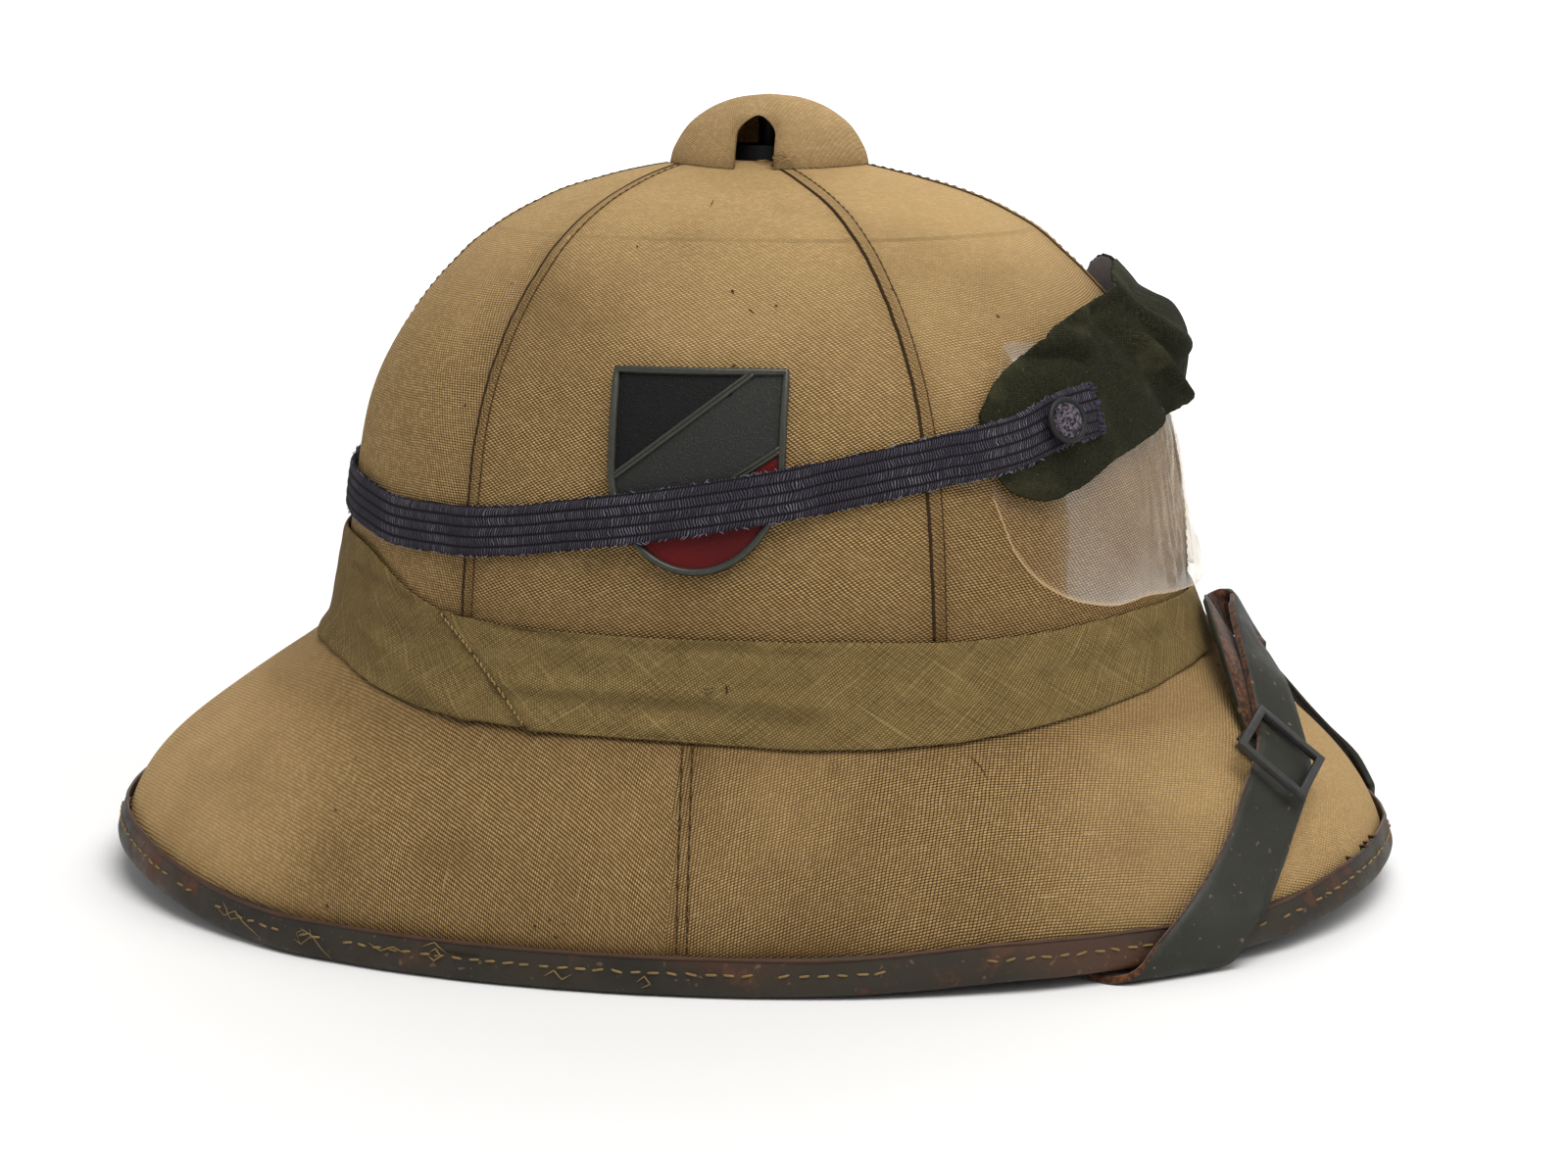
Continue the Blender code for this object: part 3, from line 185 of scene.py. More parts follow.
def spot_rise(spot):
    """Rise on the crown of a point near it, from its height low down and its reach on top."""
    rise = (spot.z - CROWN_FOOT) / CROWN_RISE
    if rise > 0.85:
        reach = math.hypot((spot.x - CROWN_AHEAD) / CROWN_HALF[0], spot.y / CROWN_HALF[1])
        rise = crown_share(reach)
    return min(max(rise, 0.0), 1.0)


def rim_spot(turn):
    """The rim's edge in plan."""
    a = math.radians(turn)
    swell = (abs(math.cos(a)) ** RIM_FULLNESS + abs(math.sin(a)) ** RIM_FULLNESS) ** (-1.0 / RIM_FULLNESS)
    return Vector((RIM_HALF[0] * math.cos(a) * swell, RIM_HALF[1] * math.sin(a) * swell, 0.0))


def camera_back():
    turn, tilt = math.radians(CAMERA_TURN), math.radians(CAMERA_TILT)
    return Vector((math.sin(turn) * math.cos(tilt), -math.cos(turn) * math.cos(tilt), math.sin(tilt)))


def photo_ray(px, py):
    """Direction from the camera through a pixel of the photograph."""
    focus = CAMERA_LENS / 36.0 * PHOTO_SIZE[0]
    turned = (-camera_back()).to_track_quat("-Z", "Y")
    return (turned @ Vector((px - PHOTO_SIZE[0] / 2, PHOTO_SIZE[1] / 2 - py, -focus))).normalized()


class Surface:
    """Shapes that cloth, seams and threads are laid on."""

    def __init__(self, *items):
        self.verts, self.normals, self.faces = [], [], []
        for item in items:
            start = len(self.verts)
            self.verts += [vert.co.copy() for vert in item.data.vertices]
            self.normals += [vert.normal.copy() for vert in item.data.vertices]
            self.faces += [tuple(start + k for k in face.vertices) for face in item.data.polygons]
        self.tree = BVHTree.FromPolygons(self.verts, self.faces)

    def smooth(self, spot, face):
        """The normal at a point of a face, blended from its corners."""
        total = Vector()
        for k in self.faces[face]:
            total += self.normals[k] / (1e-6 + (self.verts[k] - spot).length)
        return total.normalized()

    def cast(self, start, way):
        spot, _, face, _ = self.tree.ray_cast(Vector(start), Vector(way))
        return (spot, self.smooth(spot, face)) if spot else (None, None)

    def nearest(self, spot):
        found, _, face, _ = self.tree.find_nearest(Vector(spot))
        return found, self.smooth(found, face)

    def photo(self, px, py):
        """Where a pixel of the photograph falls."""
        return self.cast(CAMERA_AT, photo_ray(px, py))

    def below(self, x, y, top=0.3):
        return self.cast((x, y, top), (0.0, 0.0, -1.0))


class Bag:
    """Vertices and faces gathered for one piece."""

    def __init__(self):
        self.verts, self.faces = [], []

    def tube(self, path, ups, wide, high, sides=8, closed=False, taper=()):
        """A rod along a path, with half width and half height, and ups that point out of the cloth."""
        start, count = len(self.verts), len(path)
        for k in range(count):
            before = path[(k - 1) % count if closed else max(k - 1, 0)]
            after = path[(k + 1) % count if closed else min(k + 1, count - 1)]
            heading = (after - before).normalized()
            side = heading.cross(ups[k]).normalized()
            up = side.cross(heading).normalized()
            size = taper[k] if taper else 1.0
            for s in range(sides):
                a = 2.0 * math.pi * s / sides
                self.verts.append(path[k] + (side * wide * math.cos(a) + up * high * math.sin(a)) * size)
        last = count if closed else count - 1
        for k in range(last):
            for s in range(sides):
                here, after = start + k * sides, start + (k + 1) % count * sides
                t = (s + 1) % sides
                self.faces.append((here + s, here + t, after + t, after + s))
        if not closed:
            self.faces.append(tuple(start + s for s in reversed(range(sides))))
            self.faces.append(tuple(start + (count - 1) * sides + s for s in range(sides)))

    def stitch(self, first, last, up, wide, high):
        """One stitch that dips into the cloth at both ends."""
        path = [first - up * high, first.lerp(last, 0.22) + up * high * 0.6,
                first.lerp(last, 0.78) + up * high * 0.6, last - up * high]
        self.tube(path, [up] * 4, wide, high, 6, taper=(0.55, 1.0, 1.0, 0.55))

    def thread(self, path, ups, radius, sides=5):
        """A loose thread that thins out to its ends."""
        count = len(path)
        ends = [min(1.0, 0.35 + 3.0 * min(k, count - 1 - k) / count) for k in range(count)]
        self.tube(path, ups, radius, radius, sides, taper=ends)

    def grid(self, rows, closed=False):
        """A surface through rows of points."""
        start, columns = len(self.verts), len(rows[0])
        for row in rows:
            self.verts += row
        for r in range(len(rows) - 1):
            for c in range(columns if closed else columns - 1):
                d = (c + 1) % columns
                here, above = start + r * columns, start + (r + 1) * columns
                self.faces.append((here + c, here + d, above + d, above + c))

    def make(self, name, finish, slot=None, replaces=()):
        mesh = bpy.data.meshes.new(name)
        mesh.from_pydata([tuple(v) for v in self.verts], [], self.faces)
        mesh.update()
        item = bpy.data.objects.new(name, mesh)
        bpy.context.scene.collection.objects.link(item)
        return placed(item, finish, replaces)


def placed(item, finish, replaces=()):
    """Smooth a piece, give it its material and its place on the part."""
    item.data.shade_smooth()
    item.data.materials.clear()
    for part in finish if isinstance(finish, (list, tuple)) else [finish]:
        item.data.materials.append(part)
    if replaces:
        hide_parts(*replaces)
    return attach(item, "root")


def select_only(item):
    bpy.ops.object.select_all(action="DESELECT")
    item.select_set(True)
    bpy.context.view_layer.objects.active = item


def apply_modifier(item, kind, **settings):
    select_only(item)
    step = item.modifiers.new(kind.lower(), kind)
    for key, value in settings.items():
        setattr(step, key, value)
    bpy.ops.object.modifier_apply(modifier=step.name)


def cad_copy(name, levels=0):
    """A copy of a CAD node with whole faces, rounded by subdivision."""
    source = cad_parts[name]
    item = bpy.data.objects.new(name + "_made", source.data.copy())
    bpy.context.scene.collection.objects.link(item)
    item.data.materials.clear()
    select_only(item)
    bpy.ops.object.mode_set(mode="EDIT")
    bpy.ops.mesh.select_all(action="SELECT")
    bpy.ops.mesh.remove_doubles(threshold=0.00001)
    bpy.ops.mesh.customdata_custom_splitnormals_clear()
    bpy.ops.mesh.tris_convert_to_quads(face_threshold=math.radians(60), shape_threshold=math.radians(60))
    bpy.ops.mesh.normals_make_consistent(inside=False)
    bpy.ops.object.mode_set(mode="OBJECT")
    for edge in item.data.edges:
        edge.use_edge_sharp = False
    if levels:
        apply_modifier(item, "SUBSURF", levels=levels, render_levels=levels)
    return item


def flat_map(item, place):
    """A UV map in metres: place gives the flat spot of a point for a face's own centre."""
    mesh = item.data
    layer = mesh.uv_layers.get("weave") or mesh.uv_layers.new(name="weave")
    values = np.zeros(len(mesh.loops) * 2, np.float32)
    for face in mesh.polygons:
        key = place(face.center, None)
        for k in face.loop_indices:
            values[2 * k:2 * k + 2] = place(mesh.vertices[mesh.loops[k].vertex_index].co, key)
    layer.data.foreach_set("uv", values)


def mark(item, name, value):
    """A number at each vertex for the material to read."""
    layer = item.data.attributes.new(name, "FLOAT", "POINT")
    values = [value(vert.co, vert.normal) for vert in item.data.vertices]
    layer.data.foreach_set("value", np.array(values, np.float32))


def move_out(item, amount):
    """Move each vertex along its normal."""
    ways = [vert.normal.copy() for vert in item.data.vertices]
    for vert, way in zip(item.data.vertices, ways):
        vert.co = vert.co + way * amount(vert.co, way)
    item.data.update()


class Finish:
    """A Principled material with short names for its nodes."""

    def __init__(self, name, roughness=0.8, metallic=0.0, sheen=0.0):
        self.made = bpy.data.materials.new(name)
        self.made.use_nodes = True
        self.tree = self.made.node_tree
        self.shader = self.tree.nodes["Principled BSDF"]
        self.shader.inputs["Roughness"].default_value = roughness
        self.shader.inputs["Metallic"].default_value = metallic
        self.shader.inputs["Sheen Weight"].default_value = sheen
        self.shader.inputs["Specular IOR Level"].default_value = 0.12 if roughness > 0.8 else 0.35
        self.bumped = None

    def put(self, value, socket):
        if isinstance(value, bpy.types.NodeSocket):
            self.tree.links.new(value, socket)
        elif value is not None:
            socket.default_value = value

    def math(self, operation, *values, clamp=False):
        node = self.tree.nodes.new("ShaderNodeMath")
        node.operation = operation
        node.use_clamp = clamp
        for k, value in enumerate(values):
            self.put(value, node.inputs[k])
        return node.outputs[0]

    def cloth_axes(self):
        """The piece's own flat metres."""
        node = self.tree.nodes.new("ShaderNodeUVMap")
        node.uv_map = "weave"
        split = self.tree.nodes.new("ShaderNodeSeparateXYZ")
        self.tree.links.new(node.outputs[0], split.inputs[0])
        return node.outputs[0], split.outputs[0], split.outputs[1]

    def place(self):
        return self.tree.nodes.new("ShaderNodeTexCoord").outputs["Object"]

    def attribute(self, name):
        node = self.tree.nodes.new("ShaderNodeAttribute")
        node.attribute_name = name
        return node.outputs["Fac"]

    def join(self, x, y, z=0.0):
        node = self.tree.nodes.new("ShaderNodeCombineXYZ")
        for k, value in enumerate((x, y, z)):
            self.put(value, node.inputs[k])
        return node.outputs[0]

    def noise(self, at, scale, detail=2.0, rough=0.5, distortion=0.0):
        node = self.tree.nodes.new("ShaderNodeTexNoise")
        self.put(at, node.inputs["Vector"])
        settings = {"Scale": scale, "Detail": detail, "Roughness": rough, "Distortion": distortion}
        for key, value in settings.items():
            node.inputs[key].default_value = value
        return node.outputs["Fac"]

    def cells(self, at, scale):
        node = self.tree.nodes.new("ShaderNodeTexVoronoi")
        self.put(at, node.inputs["Vector"])
        node.inputs["Scale"].default_value = scale
        return node.outputs["Distance"]

    def chance(self, at):
        node = self.tree.nodes.new("ShaderNodeTexWhiteNoise")
        node.noise_dimensions = "2D"
        self.put(at, node.inputs["Vector"])
        return node.outputs["Value"]

    def band(self, value, low, high, start=0.0, stop=1.0):
        """Smooth change from start to stop between two values."""
        node = self.tree.nodes.new("ShaderNodeMapRange")
        node.interpolation_type = "SMOOTHSTEP"
        for k, entry in enumerate((value, low, high, start, stop)):
            self.put(entry, node.inputs[k])
        return node.outputs[0]

    def mix(self, first, second, share):
        node = self.tree.nodes.new("ShaderNodeMix")
        node.data_type = "RGBA"
        self.put(share, node.inputs[0])
        self.put(first, node.inputs[6])
        self.put(second, node.inputs[7])
        return node.outputs[2]

    def bump(self, height, distance, strength=1.0):
        node = self.tree.nodes.new("ShaderNodeBump")
        node.inputs["Distance"].default_value = distance
        node.inputs["Strength"].default_value = strength
        self.put(height, node.inputs["Height"])
        if self.bumped is not None:
            self.put(self.bumped, node.inputs["Normal"])
        self.bumped = node.outputs[0]
        self.put(self.bumped, self.shader.inputs["Normal"])

    def colour(self, value):
        self.put(value, self.shader.inputs["Base Color"])
        return self.made

    def rough(self, value):
        self.put(value, self.shader.inputs["Roughness"])


THREAD_ROUNDNESS = 1.6


def threads(finish, across, along, pitch, shift, slant, wander):
    """Rows of thread floats: how high the cloth is, 0 to 1, and each float's own chance."""
    at = finish.join(across, along)
    drift = finish.math("MULTIPLY_ADD", finish.noise(at, 140.0, 2.0), wander, -wander / 2)
    row = finish.math("DIVIDE", finish.math("ADD", along, drift), pitch[1])
    level = finish.math("FLOOR", row)
    part = finish.math("FRACT", row)
    column = finish.math("DIVIDE", finish.math("ADD", across, drift), pitch[0])
    column = finish.math("MULTIPLY_ADD", level, shift, column)
    column = finish.math("MULTIPLY_ADD", part, slant, column)
    share = finish.math("FRACT", column)
    ridges = []
    for value in (share, part):
        middle = finish.math("MULTIPLY_ADD", value, 2.0, -1.0)
        fall = finish.math("POWER", finish.math("ABSOLUTE", middle), THREAD_ROUNDNESS)
        ridges.append(finish.math("SUBTRACT", 1.0, fall))
    height = finish.math("MULTIPLY", *ridges)
    chance = finish.chance(finish.join(finish.math("FLOOR", column), level))
    return height, chance


def turned_axes(finish, x, y, degrees):
    """The cloth's axes turned by an angle."""
    c, s = math.cos(math.radians(degrees)), math.sin(math.radians(degrees))
    across = finish.math("ADD", finish.math("MULTIPLY", x, c), finish.math("MULTIPLY", y, s))
    along = finish.math("SUBTRACT", finish.math("MULTIPLY", y, c), finish.math("MULTIPLY", x, s))
    return across, along


def shell_canvas(name, degrees, shift, base, gap, tone):
    """Khaki canvas: thread floats, lighter and darker patches, painted light, grime with painted shade, and small
    specks.
    """
    finish = Finish(name, 0.92)
    flat, x, y = finish.cloth_axes()
    across, along = turned_axes(finish, x, y, degrees)
    height, chance = threads(finish, across, along, CANVAS_PITCH, shift, 0.35, 0.0006)
    fine = finish.attribute("smooth")
    depth = finish.band(height, 0.02, 0.72)
    depth = finish.math("ADD", finish.math("MULTIPLY", depth, finish.math("SUBTRACT", 1.0, fine)),
                        finish.math("MULTIPLY", fine, 0.62))
    colour = finish.mix(gap, base, depth)
    lit = finish.math("MULTIPLY", finish.band(chance, 0.30, 1.0), finish.math("MULTIPLY", depth, 0.75))
    colour = finish.mix(colour, tone, lit)
    colour = finish.mix(colour, tone, finish.band(finish.noise(flat, 17.0, 3.0, 0.55), 0.50, 0.80, 0.0, 0.30))
    slub = finish.noise(finish.join(finish.math("MULTIPLY", across, 0.12), along), 900.0, 1.0)
    colour = finish.mix(colour, linear(196, 170, 126), finish.band(slub, 0.68, 0.80, 0.0, 0.35))
    # Painted light from the fade mark: the crown's top and front and the brim's ends are lighter.
    colour = finish.mix(colour, shaded(tone, 1.12), finish.attribute("fade_and_painted_light"))
    cloudy = finish.band(finish.noise(flat, 13.0, 4.0, 0.6), 0.48, 0.80, 0.0, 0.34)
    # Darkening from the mark, which holds real dirt and painted shade, plus random dirty patches.
    grime_and_shade = finish.math("ADD", finish.attribute("grime_and_shade"), cloudy)
    colour = finish.mix(colour, linear(84, 60, 32), finish.math("MINIMUM", grime_and_shade, 0.85))
    specks = finish.band(finish.cells(flat, 95.0), 0.035, 0.065, 1.0, 0.0)
    kept = finish.band(finish.noise(flat, 60.0, 1.0), 0.56, 0.60)
    shown = finish.math("MULTIPLY", finish.math("MULTIPLY", specks, kept), 0.8)
    colour = finish.mix(colour, linear(44, 30, 20), shown)
    finish.bump(finish.noise(flat, 240.0, 2.0), 0.00018, 0.5)
    finish.bump(height, 0.00036, 1.0)
    return finish.colour(colour)


def band_cloth():
    """Thin bias-cut cloth with a fine crosswise weave, stray lighter threads and painted shade."""
    finish = Finish("band_cloth", 0.9)
    flat, x, y = finish.cloth_axes()
    across, along = turned_axes(finish, x, y, 45.0)
    height, chance = threads(finish, across, along, BAND_PITCH, 0.5, 0.0, 0.0003)
    zones = finish.band(finish.noise(flat, 30.0, 4.0, 0.6, 0.4), 0.40, 0.70)
    colour = finish.mix(linear(70, 56, 30), linear(140, 118, 74), finish.band(height, 0.0, 0.8))
    lit = finish.math("MULTIPLY", finish.band(chance, 0.5, 1.0), 0.20)
    colour = finish.mix(colour, linear(156, 134, 90), lit)
    for first, second in ((across, along), (along, across)):
        stray = finish.noise(finish.join(finish.math("MULTIPLY", first, 0.03), second), 1150.0, 1.0)
        colour = finish.mix(colour, linear(176, 154, 104), finish.band(stray, 0.60, 0.78, 0.0, 0.24))
        colour = finish.mix(colour, linear(70, 55, 30), finish.band(stray, 0.40, 0.24, 0.0, 0.26))
    for first, second in ((across, along), (along, across)):
        sway = finish.noise(finish.join(finish.math("MULTIPLY", first, 0.1), second), 500.0)
        place = finish.math("ADD", second, finish.math("MULTIPLY", sway, 0.0016))
        line = finish.math("FRACT", finish.math("DIVIDE", place, BAND_LINE_PITCH))
        line = finish.band(finish.math("ABSOLUTE", finish.math("MULTIPLY_ADD", line, 2.0, -1.0)), 0.45, 0.95)
        shown = finish.band(finish.noise(flat, 120.0, 2.0), 0.35, 0.65, 0.12, 0.42)
        colour = finish.mix(colour, linear(62, 48, 24), finish.math("MULTIPLY", line, shown))
    colour = finish.mix(colour, linear(92, 75, 42), finish.math("MULTIPLY", zones, 0.25))
    # Painted shade from the band's mark: down-facing parts, the join and the fold shadows.
    colour = finish.mix(colour, linear(52, 40, 22), finish.math("MINIMUM", finish.attribute("grime_and_shade"), 0.85))
    finish.bump(finish.noise(flat, 90.0, 3.0), 0.0005, 0.5)
    finish.bump(height, 0.00012, 0.8)
    return finish.colour(colour)


def leather(name, base, worn, worn_share, roughness=0.5, flecks=0.35):
    """Dark leather with pores, worn patches and fine scratches."""
    finish = Finish(name, roughness)
    at = finish.place()
    patches = finish.noise(at, 70.0, 4.0, 0.65)
    rubbed = finish.band(patches, 0.60 - worn_share, 0.72 - worn_share * 0.6)
    wear = finish.math("ADD", rubbed, finish.attribute("wear"), clamp=True)
    dull = finish.band(finish.noise(at, 26.0, 3.0), 0.45, 0.7)
    colour = finish.mix(base, shaded(base, 0.55), dull)
    colour = finish.mix(colour, worn, finish.math("MULTIPLY", wear, 0.8))
    fine = finish.noise(at, 1900.0, 2.0)
    scuffs = finish.band(finish.noise(at, 520.0, 2.0), 0.66, 0.74, 0.0, flecks)
    colour = finish.mix(colour, linear(136, 112, 78), scuffs)
    finish.rough(finish.band(patches, 0.3, 0.8, roughness - 0.08, roughness + 0.22))
    finish.bump(patches, 0.0005, 0.5)
    finish.bump(fine, 0.00008, 0.8)
    return finish.colour(colour)


def suede():
    """Rough brown flesh side of the leather."""
    finish = Finish("strap_suede", 0.95, sheen=0.25)
    at = finish.place()
    fibres = finish.noise(at, 700.0, 3.0, 0.7)
    colour = finish.mix(linear(46, 28, 18), linear(112, 70, 42), finish.band(fibres, 0.35, 0.75))
    soiled = finish.band(finish.noise(at, 120.0, 2.0), 0.5, 0.75, 0.0, 0.6)
    colour = finish.mix(colour, linear(42, 30, 24), soiled)
    finish.bump(fibres, 0.0004, 0.9)
    return finish.colour(colour)


def plain(name, base, roughness=0.7, metallic=0.0, vary=0.25, scale=400.0, depth=0.0001):
    """One colour with a little change in tone and a fine grain."""
    finish = Finish(name, roughness, metallic)
    at = finish.place()
    grain = finish.noise(at, scale, 3.0, 0.6)
    colour = finish.mix(shaded(base, 1.0 - vary), shaded(base, 1.0 + vary), grain)
    finish.bump(grain, depth, 0.7)
    return finish.colour(colour)


def goggle_fabric():
    """Dark olive fabric, a little rubbed and dusty, with a painted highlight along a fold."""
    finish = Finish("goggle_fabric", 0.95)
    flat, x, y = finish.cloth_axes()
    height, chance = threads(finish, x, y, GOGGLE_PITCH, 0.5, 0.0, 0.0002)
    lit = finish.math("MULTIPLY", height, finish.band(chance, 0.0, 1.0, 0.4, 1.0))
    colour = finish.mix(linear(17, 18, 10), linear(58, 58, 39), lit)
    fade_and_painted_light = finish.band(finish.noise(flat, 50.0, 4.0, 0.6), 0.50, 0.80, 0.0, 0.5)
    colour = finish.mix(colour, linear(80, 78, 54), fade_and_painted_light)
    dust = finish.band(finish.cells(flat, 420.0), 0.05, 0.09, 1.0, 0.0)
    colour = finish.mix(colour, linear(128, 118, 88), finish.math("MULTIPLY", dust, 0.45))
    # Pale line along a fold's ridge: partly rubbed wear, partly painted highlight.
    colour = finish.mix(colour, linear(120, 112, 70), finish.attribute("rub_and_highlight"))
    finish.bump(finish.noise(flat, 300.0, 3.0), 0.0002, 0.7)
    finish.bump(height, 0.00006, 0.8)
    return finish.colour(colour)


ELASTIC_RIBS = 5


def elastic_web():
    """Five lengthwise ribs of short slanted bluish threads on dark rubbered web."""
    finish = Finish("elastic_web", 0.88)
    flat, x, y = finish.cloth_axes()
    row = finish.math("DIVIDE", y, ELASTIC_WIDTH / ELASTIC_RIBS)
    part = finish.math("FRACT", row)
    level = finish.math("FLOOR", finish.math("ADD", row, 20.0))
    lean = finish.math("MULTIPLY_ADD", finish.math("MODULO", level, 2.0), 2.0, -1.0)
    drift = finish.math("MULTIPLY_ADD", finish.noise(flat, 420.0, 3.0), 2.2, -1.1)
    slope = finish.math("MULTIPLY", lean, part)
    phase = finish.math("MULTIPLY_ADD", slope, 0.9, finish.math("DIVIDE", x, ELASTIC_THREAD_PITCH))
    phase = finish.math("ADD", phase, drift)
    swing = finish.math("ABSOLUTE", finish.math("MULTIPLY_ADD", finish.math("FRACT", phase), 2.0, -1.0))
    across = finish.math("ABSOLUTE", finish.math("MULTIPLY_ADD", part, 2.0, -1.0))
    edge = finish.math("SUBTRACT", 1.0, finish.math("POWER", across, 4.0))
    height = finish.math("MULTIPLY", finish.math("SUBTRACT", 1.0, swing), edge)
    chance = finish.chance(finish.join(finish.math("FLOOR", phase), level))
    worn = finish.band(finish.noise(flat, 60.0, 3.0), 0.35, 0.65)
    colour = finish.mix(linear(17, 15, 18), linear(64, 60, 70), finish.band(height, 0.05, 0.80))
    bright = finish.math("MULTIPLY", finish.band(height, 0.45, 1.0), finish.math("MULTIPLY", worn, chance))
    colour = finish.mix(colour, linear(136, 132, 142), bright)
    finish.bump(height, 0.00030, 1.0)
    return finish.colour(colour)


def elastic_lump():
    """Mottled web where it bulges through a ring."""
    finish = Finish("elastic_lump", 0.92)
    at = finish.place()
    tufts = finish.noise(at, 1250.0, 3.0, 0.6, 0.5)
    colour = finish.mix(linear(30, 27, 33), linear(112, 104, 116), finish.band(tufts, 0.40, 0.62))
    brown = finish.band(finish.noise(at, 500.0, 2.0), 0.5, 0.7, 0.0, 0.5)
    colour = finish.mix(colour, linear(72, 56, 56), brown)
    finish.bump(tufts, 0.0007, 1.0)
    return finish.colour(colour)


def enamel(name, dark, light, depth):
    """Pebbled paint in one field of the shield."""
    finish = Finish(name, 0.42)
    finish.shader.inputs["Specular IOR Level"].default_value = 0.18
    at = finish.place()
    pebbles = finish.noise(at, 2400.0, 2.0, 0.5, 0.3)
    colour = finish.mix(dark, light, finish.band(pebbles, 0.56, 0.80, 0.0, 0.6))
    colour = finish.mix(colour, shaded(dark, 0.5), finish.attribute("middle"))
    finish.rough(finish.band(pebbles, 0.3, 0.8, 0.55, 0.35))
    finish.bump(pebbles, depth, 1.0)
    return finish.colour(colour)


def clear_film():
    """Thin clear film: mostly seen through, with soft reflections and a faint haze."""
    finish = Finish("clear_film", 0.12)
    at = finish.place()
    tree = finish.tree
    through = tree.nodes.new("ShaderNodeBsdfTransparent")
    through.inputs["Color"].default_value = (0.96, 0.93, 0.88, 1.0)
    gloss = tree.nodes.new("ShaderNodeBsdfGlossy")
    gloss.inputs["Color"].default_value = (1.0, 1.0, 1.0, 1.0)
    gloss.inputs["Roughness"].default_value = 0.20
    finish.bump(finish.noise(at, 38.0, 1.0, 0.4, 0.5), 0.0011, 0.7)
    tree.links.new(finish.bumped, gloss.inputs["Normal"])
    fresnel = tree.nodes.new("ShaderNodeFresnel")
    fresnel.inputs["IOR"].default_value = 1.55
    shine = tree.nodes.new("ShaderNodeMixShader")
    tree.links.new(finish.math("MULTIPLY", fresnel.outputs[0], 0.24, clamp=True), shine.inputs[0])
    tree.links.new(through.outputs[0], shine.inputs[1])
    tree.links.new(gloss.outputs[0], shine.inputs[2])
    haze = tree.nodes.new("ShaderNodeMixShader")
    veil = finish.band(finish.noise(at, 34.0, 2.0, 0.5, 0.8), 0.50, 0.75, 0.01, 0.10)
    tree.links.new(finish.math("ADD", veil, finish.attribute("haze"), clamp=True), haze.inputs[0])
    tree.links.new(shine.outputs[0], haze.inputs[1])
    finish.colour(linear(206, 178, 136))
    tree.links.new(finish.shader.outputs[0], haze.inputs[2])
    out = tree.nodes["Material Output"]
    tree.links.new(haze.outputs[0], out.inputs["Surface"])
    return finish.made


# Brown blotches and dull patches on the crown: pixel of the photograph, size, darkness
CROWN_BLOTCHES = (
    (700, 240, 9.0, 0.20),
    (800, 210, 5.0, 0.16),
    (560, 330, 14.0, 0.12),
    (940, 250, 12.0, 0.18),
    (1010, 300, 10.0, 0.14),
    (700, 620, 12.0, 0.14),
    (420, 480, 12.0, 0.10),
    (870, 470, 10.0, 0.08),
    (1010, 560, 14.0, 0.16),
)
BRIM_BLOTCHES = (
    (340, 880, 11.0, 0.30),
    (455, 870, 9.0, 0.28),
    (560, 905, 12.0, 0.16),
    (860, 880, 14.0, 0.12),
    (1160, 860, 10.0, 0.14),
    (250, 800, 9.0, 0.14),
    (1000, 920, 12.0, 0.14),
)


def blotch_spots(surface, table):
    spots = []
    for px, py, size, dark in table:
        spot, _ = surface.photo(px, py)
        if spot:
            spots.append((spot, size * MM, dark))
    return spots


def blotches_at(spots, here):
    return sum(dark * math.exp(-((here - spot).length / size) ** 2) for spot, size, dark in spots)


def crown_panel(spot):
    """The panel that a point lies in, as its two seams."""
    turn, rise = spot_turn(spot), spot_rise(spot)
    seams = [seam_turn(seam, rise) for seam in SEAM_TURNS]
    for k in range(len(SEAM_TURNS) - 1):
        if seams[k] <= turn < seams[k + 1]:
            return k
    return len(SEAM_TURNS) - 1


MERIDIAN_STEPS = 200
MERIDIAN_TURN = 30.0


def meridian_lengths():
    """Metres up the crown's face to each step of its rise."""
    lengths = [0.0]
    for k in range(MERIDIAN_STEPS):
        low = crown_point(MERIDIAN_TURN, k / MERIDIAN_STEPS)
        high = crown_point(MERIDIAN_TURN, (k + 1) / MERIDIAN_STEPS)
        lengths.append(lengths[-1] + (high - low).length)
    return lengths


MERIDIAN = meridian_lengths()
PANEL_LEANS = (8.0, -14.0, 0.0, 74.0, 20.0, -60.0)


def crown_cloth_place(spot, panel):
    """Flat place of a point on its panel's cloth, cut as a gore."""
    if panel is None:
        return crown_panel(spot)
    rise = spot_rise(spot)
    first = seam_turn(SEAM_TURNS[panel], rise)
    last = seam_turn(SEAM_TURNS[panel + 1], rise) if panel + 1 < len(SEAM_TURNS) else 180.0
    turn = spot_turn(spot)
    middle = (first + last) / 2
    away = (turn - middle + 180.0) % 360.0 - 180.0
    x = away * arc_scale(middle, rise)
    step = int(rise * MERIDIAN_STEPS)
    y = MERIDIAN[min(step, MERIDIAN_STEPS - 1)]
    y += (MERIDIAN[min(step + 1, MERIDIAN_STEPS)] - y) * (rise * MERIDIAN_STEPS - step)
    lean = math.radians(PANEL_LEANS[panel])
    return (x * math.cos(lean) - y * math.sin(lean) + panel, x * math.sin(lean) + y * math.cos(lean) + panel)


def seam_away(spot):
    """Metres from the nearest crown seam."""
    turn, rise = spot_turn(spot), spot_rise(spot)
    gaps = [abs((turn - seam_turn(seam, rise) + 180.0) % 360.0 - 180.0) for seam in SEAM_TURNS]
    return min(gaps) * arc_scale(turn, rise)


